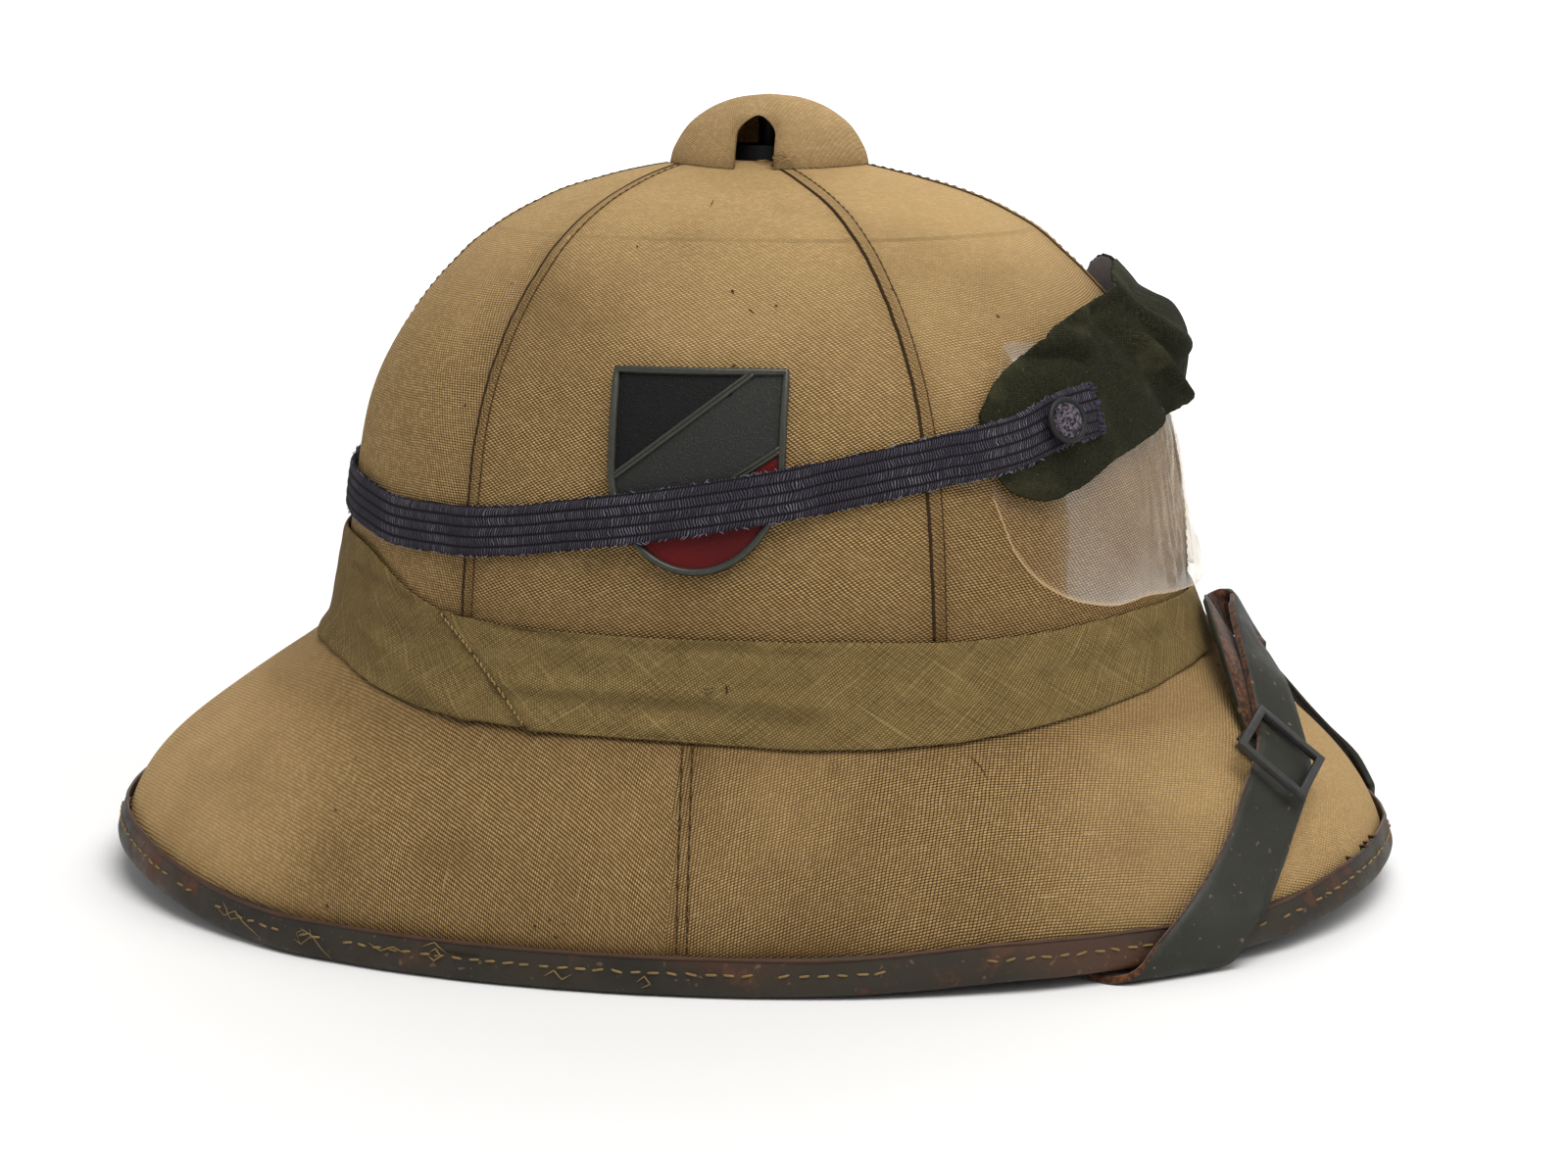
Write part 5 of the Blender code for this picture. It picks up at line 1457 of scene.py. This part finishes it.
RING_RADIUS = 0.0050
RING_WIRE = 0.00075
BULGE_RADIUS = 0.0044
BULGE_HEIGHT = 0.33
RING_SLIDE = (1.2, -0.006)


def ring_axes(name):
    """Centre and outward direction of a ring, slid a little back along the elastic."""
    low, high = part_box(name)
    centre = (low + high) / 2
    turn, rise = spot_turn(centre), (centre.z - CROWN_FOOT) / CROWN_RISE
    slid = crown_point(turn + math.copysign(RING_SLIDE[0], turn), rise + RING_SLIDE[1])
    centre += slid - crown_point(turn, rise)
    return centre, crown_normal(turn, rise)


def build_ring(name):
    """Wire ring over the elastic's end, with the web bulging inside it."""
    centre, out = ring_axes(name)
    centre = centre + out * 0.0004
    turned = out.to_track_quat("Z", "Y")
    bpy.ops.object.select_all(action="DESELECT")
    bpy.ops.mesh.primitive_torus_add(major_segments=64, minor_segments=12, major_radius=RING_RADIUS,
                                     minor_radius=RING_WIRE, location=centre, rotation=turned.to_euler())
    ring = bpy.context.active_object
    ring.name = name + "_wire"
    bpy.ops.object.transform_apply(location=True, rotation=True, scale=True)
    placed(ring, BLACK, [name])
    bpy.ops.object.select_all(action="DESELECT")
    bpy.ops.mesh.primitive_uv_sphere_add(segments=40, ring_count=24, radius=BULGE_RADIUS,
                                         location=(0.0, 0.0, 0.0))
    bulge = bpy.context.active_object
    bulge.name = name + "_bulge"
    for vert in bulge.data.vertices:
        lumps = 1.0 + 0.55 * noise.noise(vert.co * 700.0) + 0.30 * noise.noise(vert.co * 1900.0)
        vert.co = Vector((vert.co.x, vert.co.y, vert.co.z * BULGE_HEIGHT * lumps))
        vert.co = centre + out * 0.0001 + turned @ vert.co
    bulge.data.update()
    placed(bulge, ELASTIC_LUMP)


def regions(item, degrees):
    """Groups of faces joined over edges flatter than an angle, the largest first."""
    mesh = item.data
    limit = math.cos(math.radians(degrees))
    by_edge = {}
    for face in mesh.polygons:
        for key in face.edge_keys:
            by_edge.setdefault(key, []).append(face.index)
    group = [-1] * len(mesh.polygons)
    found = []
    for face in mesh.polygons:
        if group[face.index] >= 0:
            continue
        members, waiting = [], [face.index]
        group[face.index] = len(found)
        while waiting:
            here = waiting.pop()
            members.append(here)
            for key in mesh.polygons[here].edge_keys:
                for other in by_edge[key]:
                    flat = mesh.polygons[here].normal.dot(mesh.polygons[other].normal) > limit
                    if group[other] < 0 and flat:
                        group[other] = len(found)
                        waiting.append(other)
        found.append(members)
    return sorted(found, key=lambda members: -sum(mesh.polygons[k].area for k in members))


def round_crest(item):
    """Soften the strap's fold over the front of the brim."""
    select_only(item)
    bpy.ops.object.mode_set(mode="EDIT")
    bpy.ops.mesh.select_all(action="DESELECT")
    bpy.ops.object.mode_set(mode="OBJECT")
    for vert in item.data.vertices:
        vert.select = abs(vert.co.y) < 0.0065 and vert.co.x > STRAP_FRONT and vert.co.z > 0.045
    bpy.ops.object.mode_set(mode="EDIT")
    bpy.ops.mesh.vertices_smooth(factor=0.5, repeat=9)
    bpy.ops.object.mode_set(mode="OBJECT")


def lay_far_half(item, brim):
    """Bring the strap's far half closer to the brim under it."""
    surface = Surface(brim)
    for vert in item.data.vertices:
        near = smooth_step(0.004, 0.014, vert.co.y) * smooth_step(0.024, 0.036, vert.co.z)
        if vert.co.x > STRAP_FRONT and near > 0.0:
            spot, way = surface.nearest(vert.co)
            height = (vert.co - spot).dot(way)
            drop = max(height - 0.0006, 0.0) * 0.5 * near if height > 0.0 else 0.0
            vert.co = vert.co - way * drop


def build_strap(name, levels, brim):
    """Leather strap with its smooth face out and its brown flesh side in."""
    item = cad_copy(name)
    mesh = item.data
    groups = regions(item, 55.0)[:2]
    middle = Vector((CROWN_AHEAD, 0.0, 0.03))

    def outness(members):
        faces = [mesh.polygons[k] for k in members if mesh.polygons[k].center.z > 0.03]
        faces = [face for face in faces if abs(face.center.y) < 0.06]
        return sum((face.center - middle).normalized().dot(face.normal) * face.area for face in faces)

    outer = max(groups, key=outness)
    # The free end is folded back, so its flesh side faces out
    smooth, rough = (1, 0) if name == "strap_tail" else (0, 1)
    for face in mesh.polygons:
        face.material_index = rough
    for k in outer:
        mesh.polygons[k].material_index = smooth
    for face in mesh.polygons:
        if face.center.y > 0.006 and face.center.x > 0.1:
            face.material_index = 0
    border = {}
    for face in mesh.polygons:
        for key in face.edge_keys:
            border.setdefault(key, []).append(face)
    crease = mesh.attributes.new("crease_edge", "FLOAT", "EDGE")
    for edge in mesh.edges:
        pair = border[tuple(sorted(edge.vertices))]
        fold = all(abs(mesh.vertices[k].co.y) < 0.004 for k in edge.vertices)
        sharp = len(pair) == 2 and pair[0].normal.dot(pair[1].normal) < math.cos(math.radians(55.0))
        if sharp and not fold:
            crease.data[edge.index].value = 0.75
    apply_modifier(item, "SUBSURF", levels=levels, render_levels=levels)
    round_crest(item)
    lay_far_half(item, brim)
    kept = [face.material_index for face in item.data.polygons]
    item.name = name + "_leather"
    placed(item, [STRAP, SUEDE], [name])
    item.data.polygons.foreach_set("material_index", kept)
    return item


def end_line(item):
    """Highest and lowest point of a strap where it meets the middle of the front."""
    spots = [vert.co for vert in item.data.vertices if abs(vert.co.y) < 0.0018 and vert.co.x > STRAP_FRONT]
    return max(spots, key=lambda spot: spot.z).copy(), min(spots, key=lambda spot: spot.z).copy()


FOLD_WAY = Vector((0.0, 1.0, 0.25))
FOLD_BULGE = 0.0034
FOLD_SHIFT = Vector((0.0, -0.0015, 0.0))
FOLD_THICK = 0.0014


def build_strap_fold(strap, tail):
    """Rolled fold that joins the strap to its free end over the front of the brim."""
    lines = end_line(tail), end_line(strap)
    rows = []
    for k in range(17):
        share = k / 16
        first, last = (high.lerp(low, share) for high, low in lines)
        row = []
        for step in range(15):
            swing = math.pi * step / 14
            spot = first.lerp(last, (1.0 - math.cos(swing)) / 2)
            creased = 0.0005 * noise.noise(spot * 300.0)
            row.append(spot + FOLD_WAY * (FOLD_BULGE * math.sin(swing) + creased) + FOLD_SHIFT)
        rows.append(row)
    bag = Bag()
    bag.grid(rows)
    item = bag.make("strap_fold", [STRAP, SUEDE], "strap_leather")
    apply_modifier(item, "SOLIDIFY", thickness=FOLD_THICK, offset=0.0, material_offset=1, material_offset_rim=0)


BUCKLE_TURN = -13.0
BUCKLE_SHIFT = (-0.0020, -0.0004, 0.0018)


def build_metal(name, finish, bevel, turned=0.0, moved=(0.0, 0.0, 0.0)):
    """A CAD metal piece with rounded edges, sat askew by a small turn in its own plane."""
    item = cad_copy(name)
    if turned:
        spots = np.array([vert.co for vert in item.data.vertices])
        centre = spots.mean(axis=0)
        flat = np.linalg.svd(spots - centre)[2][2]
        turn = Quaternion(flat * math.copysign(1.0, -flat[1]), math.radians(turned))
        for vert in item.data.vertices:
            vert.co = Vector(centre) + turn @ (vert.co - Vector(centre)) + Vector(moved)
    apply_modifier(item, "BEVEL", width=bevel, segments=3, limit_method="ANGLE", angle_limit=math.radians(35))
    item.name = name + "_metal"
    placed(item, finish, [name])
    select_only(item)
    bpy.ops.object.shade_smooth_by_angle(angle=math.radians(50))
    return item


def shell_line(seam, offset, surface, first=0.07, last=0.986, steps=150):
    """Points up a crown seam, moved sideways by an offset."""
    path, ups = [], []
    for k in range(steps + 1):
        rise = first + (last - first) * (1.0 - (1.0 - k / steps) ** 1.5)
        turn = seam_turn(seam, rise) + offset / arc_scale(seam_turn(seam, rise), rise)
        spot, way = surface.nearest(crown_point(turn, rise))
        path.append(spot)
        ups.append(way)
    return path, ups


def along_path(path, ups, pitch, share, jitter, rng):
    """First and last points of stitches spaced along a path."""
    lengths = [0.0]
    for a, b in zip(path, path[1:]):
        lengths.append(lengths[-1] + (b - a).length)

    def at(distance):
        k = max(0, min(int(np.searchsorted(lengths, distance)) - 1, len(path) - 2))
        part = (distance - lengths[k]) / max(lengths[k + 1] - lengths[k], 1e-9)
        return path[k].lerp(path[k + 1], part), ups[k].lerp(ups[k + 1], part).normalized()

    count = int(lengths[-1] / pitch)
    for k in range(count):
        start = (k + 0.5 - share / 2 + rng.uniform(-jitter, jitter)) * pitch
        stop = start + share * pitch * rng.uniform(0.88, 1.08)
        (first, up), (last, _) = at(start), at(min(stop, lengths[-1]))
        yield first, last, up


def build_seams(crown):
    """Painted shadow line along the edge of each crown seam, partly dirt, and dark stitches."""
    surface = Surface(crown)
    rng = random.Random(4)
    lines, stitches = Bag(), Bag()
    for seam in SEAM_TURNS:
        path, ups = shell_line(seam, -0.00165, surface)
        drift = [noise.noise(spot * 300.0) for spot in path]
        path = [spot - up * 0.00006 + up.cross(Vector((0.0, 0.0, 1.0))) * 0.00018 * d
                for spot, up, d in zip(path, ups, drift)]
        lines.tube(path, ups, 0.00048, 0.00034, 6)
        path, ups = shell_line(seam, 0.00135, surface)
        lines.tube([spot - up * 0.00012 for spot, up in zip(path, ups)], ups, 0.00026, 0.00022, 6)
        for first, last, up in along_path(path, ups, SEAM_STITCH, 0.62, 0.06, rng):
            stitches.stitch(first, last, up, 0.00024, 0.00022)
    lines.make("crown_seam_lines", SEAM_DARK, "shell_canvas")
    stitches.make("crown_seam_stitches", SEAM_THREAD, "shell_canvas")


def build_brim_seams(brim):
    """The cover's joins at both sides: two stitched lines, each with a painted shadow line along it, partly dirt.
    """
    surface = Surface(brim)
    rng = random.Random(9)
    lines, stitches = Bag(), Bag()
    for side in (-1.0, 1.0):
        for offset in (-0.0012, 0.0012):
            path, ups = [], []
            for k in range(70):
                y = side * (0.098 + 0.0335 * k / 69)
                x = BRIM_SEAM[0] + (BRIM_SEAM[1] - BRIM_SEAM[0]) * k / 69
                spot, way = surface.below(x + offset, y)
                if spot and spot.z < 0.055:
                    path.append(spot)
                    ups.append(way)
            lines.tube([spot - up * 0.00010 for spot, up in zip(path, ups)], ups, 0.00030, 0.00024, 6)
            for first, last, up in along_path(path, ups, SEAM_STITCH, 0.6, 0.06, rng):
                stitches.stitch(first, last, up, 0.00022, 0.0002)
    lines.make("brim_seam_lines", SEAM_DARK, "shell_canvas")
    stitches.make("brim_seam_stitches", SEAM_THREAD, "shell_canvas")


def build_band_join(band):
    """Short twisted stitches along the band's slanting join, with a painted shade line under them."""
    surface = Surface(band)
    rng = random.Random(31)
    spots = photo_line(surface, BAND_JOIN, 24)
    path, ups = [spot for spot, _ in spots], [way for _, way in spots]
    bag = Bag()
    for first, last, up in along_path(path, ups, JOIN_STITCH, 0.78, 0.10, rng):
        aside = (last - first).normalized().cross(up) * 0.00025
        bag.stitch(first - aside, last + aside, up, 0.00022, 0.00028)
    bag.make("band_join_stitches", BAND_THREAD, "band_cloth")
    # Painted shade line sunk along the join.
    shade = Bag()
    shade.tube([spot - up * 0.00014 for spot, up in zip(path, ups)], ups, 0.00030, 0.00020, 6)
    shade.make("band_join_line", SEAM_DARK, "band_cloth")


def build_binding_stitches(binding):
    """Tan stitches round the binding, outside and inside, with a few missing."""
    surface = Surface(binding)
    rng = random.Random(21)
    outside, inside, edge = Bag(), Bag(), Bag()
    loops = {"out": ([], []), "in": ([], []), "edge": ([], [])}
    for k in range(720):
        turn = k / 2.0
        rim = rim_spot(turn)
        level = Vector((rim.x, rim.y, 0.0)).normalized()
        low = rim_base(rim.x)
        for key, height in (("out", 0.0056), ("edge", 0.0090)):
            start = rim + level * 0.03 + Vector((0.0, 0.0, low + height))
            spot, way = surface.cast(start, -level)
            if spot:
                loops[key][0].append(spot)
                loops[key][1].append(way)
        start = rim - level * 0.03 + Vector((0.0, 0.0, low + 0.0050))
        spot, way = surface.cast(start, level)
        if spot:
            loops["in"][0].append(spot)
            loops["in"][1].append(way)
    for bag, key in ((outside, "out"), (inside, "in")):
        path, ups = loops[key]
        closed_path, closed_ups = path + path[:1], ups + ups[:1]
        for first, last, up in along_path(closed_path, closed_ups, BINDING_STITCH, 0.66, 0.10, rng):
            worn = noise.noise(first * 26.0) > 0.08 and key == "out"
            if rng.random() > (0.62 if worn else 0.08):
                side = rng.uniform(-0.0004, 0.0004)
                bag.stitch(first + Vector((0, 0, side)), last - Vector((0, 0, side)), up, 0.00030, 0.00030)
    outside.make("binding_stitches", TAN_THREAD, "binding_leather")
    inside.make("binding_stitches_inside", TAN_THREAD, "binding_leather")
    path, ups = loops["edge"]
    edge.tube(path, ups, 0.00050, 0.00042, 8, closed=True)
    edge.make("binding_edge", EDGE_BROWN, "binding_leather")


# Loose threads, pulls and tufts: pixels of the photograph, thickness, lift off the cloth
PALE_THREADS = (
    (((222, 926), (232, 934), (244, 930), (252, 942), (265, 956)), 0.00022, 0.0012),
    (((228, 920), (236, 928), (240, 938), (250, 936)), 0.00018, 0.0016),
    (((306, 962), (305, 952), (313, 949), (322, 955), (330, 968), (342, 982)), 0.00018, 0.0014),
    (((300, 958), (310, 963), (320, 956), (316, 948)), 0.00018, 0.0010),
    (((376, 962), (390, 970), (402, 966), (416, 974)), 0.00026, 0.0006),
    (((438, 972), (446, 968), (452, 976), (444, 980), (437, 975)), 0.00032, 0.0008),
    (((430, 966), (446, 962), (455, 972)), 0.00022, 0.0012),
    (((555, 996), (566, 990), (574, 999), (584, 994)), 0.00028, 0.0006),
    (((650, 1002), (658, 996), (664, 1004), (654, 1008)), 0.00030, 0.0006),
    (((116, 826), (122, 832), (120, 840)), 0.00030, 0.0012),
    (((848, 776), (852, 784), (850, 795)), 0.00014, 0.0005),
    (((716, 716), (722, 714), (730, 717)), 0.00018, 0.0004),
    (((722, 702), (726, 706), (721, 710)), 0.00022, 0.0006),
    (((716, 700), (721, 704), (727, 701), (731, 705)), 0.00020, 0.0006),
    (((846, 775), (847, 786), (845, 797)), 0.00016, 0.0005),
    (((853, 774), (856, 784), (854, 792)), 0.00014, 0.0005),
    (((717, 706), (725, 707), (731, 704)), 0.00022, 0.0005),
)
DARK_THREADS = (
    (((746, 297), (748, 298), (749, 300)), 0.00036, 0.0002),
    (((764, 316), (766, 317), (769, 320)), 0.00020, 0.0003),
    (((791, 312), (793, 313)), 0.00040, 0.0002),
    (((728, 204), (727, 208), (725, 211)), 0.00018, 0.0003),
    (((650, 251), (651, 253)), 0.00026, 0.0002),
    (((741, 700), (742, 704), (742, 708)), 0.00040, 0.0002),
    (((342, 826), (344, 828)), 0.00030, 0.0002),
    (((333, 922), (336, 926)), 0.00026, 0.0002),
    (((545, 944), (547, 946)), 0.00028, 0.0002),
    (((560, 938), (562, 940)), 0.00022, 0.0002),
    (((566, 955), (569, 957)), 0.00024, 0.0002),
    (((575, 942), (577, 944)), 0.00020, 0.0002),
    (((455, 970), (470, 973), (490, 975)), 0.00030, 0.0002),
    (((990, 772), (1000, 782), (1008, 796)), 0.00014, 0.0002),
)
CAP_TUFTS = (
    (((772, 158), (778, 150), (784, 156)), 0.00030, 0.0012),
    (((776, 162), (783, 158), (790, 162)), 0.00034, 0.0008),
    (((780, 152), (786, 158), (792, 166)), 0.00028, 0.0014),
    (((790, 160), (797, 155), (803, 160)), 0.00030, 0.0012),
    (((796, 166), (803, 163), (810, 168)), 0.00034, 0.0010),
    (((800, 158), (806, 162), (812, 158)), 0.00024, 0.0016),
    (((770, 166), (778, 168), (786, 165)), 0.00030, 0.0008),
    (((788, 152), (786, 160), (794, 164)), 0.00024, 0.0016),
)


def lay_threads(name, table, surface, finish, slot):
    """Short threads lying on the cloth along lines of the photograph."""
    bag = Bag()
    for pixels, radius, lift in table:
        spots = photo_line(surface, pixels, 5)
        if len(spots) < 3:
            continue
        path, ups = [], []
        for k, (spot, way) in enumerate(spots):
            rise = math.sin(math.pi * k / (len(spots) - 1))
            path.append(spot + way * (radius * 0.5 + lift * rise))
            ups.append(way)
        bag.thread(path, ups, radius * 0.58)
    bag.make(name, finish, slot)


def build_loose_threads(crown, brim, band, binding, cap):
    shell = Surface(crown, brim, band, binding, cap)
    lay_threads("loose_pale_threads", PALE_THREADS, shell, TAN_THREAD, "shell_canvas")
    lay_threads("loose_dark_threads", DARK_THREADS, shell, SEAM_DARK, "shell_canvas")
    lay_threads("cap_tufts", CAP_TUFTS, shell, SEAM_TUFT, "shell_canvas")


def elastic_spot(turn, share, lift):
    """A point on the elastic's face; share runs from its lower to its upper edge."""
    near = (turn + 180.0) % 360.0 - 180.0
    middle = elastic_rise(abs(near))
    rise = middle + (share - 0.5) * ELASTIC_WIDTH / CROWN_RISE
    return crown_point(turn, rise, elastic_base(near, middle) + ELASTIC_THICK + lift)


def build_elastic_frays():
    """Fuzz along the elastic's edges and frayed threads at its two cut ends."""
    rng = random.Random(17)
    fuzz, frays = Bag(), Bag()
    for _ in range(520):
        turn = rng.uniform(34.0, 326.0)
        edge = rng.choice((0.0, 0.0, 1.0))
        reach = rng.uniform(0.4, 1.5)
        first = elastic_spot(-turn, abs(edge - 0.04), -0.0002)
        drift = rng.uniform(-1, 1)
        lift = rng.uniform(-0.0003, 0.0002)
        last = elastic_spot(-turn + drift, edge + (edge - 0.5) * 0.05 * reach, lift)
        up = crown_normal(-turn, 0.4)
        fuzz.thread([first, first.lerp(last, 0.5) + up * 0.0002, last], [up] * 3, 0.00010, 4)
    for side in (-1.0, 1.0):
        for _ in range(46):
            share = rng.uniform(0.02, 0.98)
            start = ELASTIC_START + 0.6
            reach = rng.uniform(0.3, 1.7)
            path = []
            for step in range(5):
                t = step / 4
                turn = side * (start - reach * t)
                lift = 0.0007 * math.sin(math.pi * t) * rng.uniform(0.3, 1.6) - 0.0003
                path.append(elastic_spot(turn, share + rng.uniform(-0.05, 0.05) * t, lift))
            up = crown_normal(side * start, 0.5)
            frays.thread(path, [up] * 5, rng.choice((0.00018, 0.00026, 0.00034)), 5)
    fuzz.make("elastic_fuzz", ELASTIC_PALE, "elastic_web")
    frays.make("elastic_frays", ELASTIC_DARK, "elastic_web")


def rim_base(x):
    """Height of the binding's underside, which rises to both tips."""
    share = x / RIM_TIP
    strap = 0.0027 * smooth_step(0.2, 0.5, share)
    return strap + 0.005 * smooth_step(0.80, 1.0, share) + 0.0088 * smooth_step(0.56, 1.0, -share)


FLOOR_AHEAD = 4.0
FLOOR_BACK = 3.0
FLOOR_CURVE = 2.0
FLOOR_TOP = 6.0
FLOOR_HALF = 7.0


def build_floor():
    """Pale floor that curves up far behind the helmet."""
    bag = Bag()
    line = [(-FLOOR_AHEAD, 0.0), (FLOOR_BACK, 0.0)]
    for degrees in range(6, 91, 6):
        a = math.radians(degrees)
        line.append((FLOOR_BACK + FLOOR_CURVE * math.sin(a), FLOOR_CURVE - FLOOR_CURVE * math.cos(a)))
    line.append((FLOOR_BACK + FLOOR_CURVE, FLOOR_TOP))
    bag.grid([[Vector((x, y, z)) for x in (-FLOOR_HALF, FLOOR_HALF)] for y, z in line])
    finish = Finish("floor_paper", 0.9)
    floor = bpy.data.objects.new("floor", bpy.data.meshes.new("floor"))
    floor.data.from_pydata([tuple(spot) for spot in bag.verts], [], bag.faces)
    floor.data.shade_smooth()
    floor.data.materials.append(finish.colour(linear(230, 230, 230)))
    bpy.context.scene.collection.objects.link(floor)


def add_light(name, at, size, power, colour=(1.0, 1.0, 1.0), aim=(0.0, 0.0, 0.08)):
    light = bpy.data.lights.new(name, "AREA")
    light.energy = power
    light.size = size
    light.color = colour
    lamp = bpy.data.objects.new(name, light)
    lamp.location = at
    lamp.rotation_mode = "QUATERNION"
    lamp.rotation_quaternion = (Vector(aim) - Vector(at)).to_track_quat("-Z", "Y")
    bpy.context.scene.collection.objects.link(lamp)


def build_studio():
    """Pale floor, one large soft light above, fills at the sides, bright surroundings."""
    build_floor()
    add_light("key", (0.45, -0.75, 1.7), 1.3, 32.0, (1.0, 0.985, 0.96))
    add_light("left_fill", (-1.7, -0.9, 0.9), 1.2, 4.5)
    add_light("right_fill", (1.7, -0.5, 1.0), 1.2, 6.5)
    add_light("rear", (0.0, 1.6, 1.5), 1.5, 9.0)
    add_light("backdrop", (0.0, 2.9, 2.4), 3.0, 120.0, aim=(0.0, 4.2, 0.0))
    world = bpy.data.worlds.new("studio")
    world.use_nodes = True
    world.node_tree.nodes["Background"].inputs[0].default_value = (1.0, 1.0, 1.0, 1.0)
    world.node_tree.nodes["Background"].inputs[1].default_value = 0.36
    bpy.context.scene.world = world
    bpy.context.scene.view_settings.view_transform = "Standard"


def build_camera():
    lens = bpy.data.cameras.new("camera")
    lens.lens = CAMERA_LENS
    lens.sensor_width = 36.0
    camera = bpy.data.objects.new("camera", lens)
    camera.location = CAMERA_AT
    camera.rotation_mode = "QUATERNION"
    camera.rotation_quaternion = (-camera_back()).to_track_quat("-Z", "Y")
    bpy.context.scene.collection.objects.link(camera)
    bpy.context.scene.camera = camera


CLEAR = clear_film()
ELASTIC = elastic_web()
BLACK = plain("black_enamel", linear(30, 30, 32), 0.5, 0.3)
STRAP = leather("strap_leather", linear(35, 35, 26), linear(52, 48, 36), -0.04, 0.52, 0.55)
SUEDE = suede()
STEEL = plain("buckle_steel", linear(72, 72, 70), 0.48, 0.75, 0.35, 500.0, 0.00012)
SEAM_DARK = plain("seam_shadow", linear(52, 38, 24), 0.95, 0.0, 0.4)
SEAM_THREAD = plain("seam_thread", linear(84, 64, 38), 0.9, 0.0, 0.4)
TAN_THREAD = plain("tan_thread", linear(124, 104, 68), 0.9, 0.0, 0.45)
BAND_THREAD = plain("band_thread", linear(146, 122, 80), 0.95, 0.0, 0.4)
SEAM_TUFT = plain("cap_tuft", linear(150, 122, 78), 0.95, 0.0, 0.4)
ELASTIC_PALE = plain("elastic_pale", linear(112, 112, 128), 0.9, 0.0, 0.5, 600.0)
ELASTIC_LUMP = elastic_lump()
ELASTIC_DARK = plain("elastic_dark", linear(58, 56, 70), 0.9, 0.0, 0.6, 600.0)
EDGE_BROWN = plain("edge_brown", linear(66, 42, 26), 0.6, 0.0, 0.45, 200.0)

crown = build_crown()
brim = build_brim()
band = build_band()
binding = build_binding()
cap = build_cap(crown)
build_badge()
build_badge_frame()
cloth = build_cloth()
build_lens(-1, "goggle_lens_right")
build_lens(1, "goggle_lens_left")
build_elastic()
build_ring("goggle_ring_right")
build_ring("goggle_ring_left")
strap = build_strap("chin_strap", 2, brim)
tail = build_strap("strap_tail", 2, brim)
build_strap_fold(strap, tail)
build_metal("strap_buckle", STEEL, 0.0004, BUCKLE_TURN, BUCKLE_SHIFT)
build_metal("strap_rivet_right", STEEL, 0.0003)
build_metal("strap_rivet_left", STEEL, 0.0003)
build_metal("vent_tube", BLACK, 0.0003)
build_seams(crown)
build_brim_seams(brim)
build_binding_stitches(binding)
build_band_join(band)
build_loose_threads(crown, brim, band, binding, cap)
build_elastic_frays()

build_studio()
build_camera()
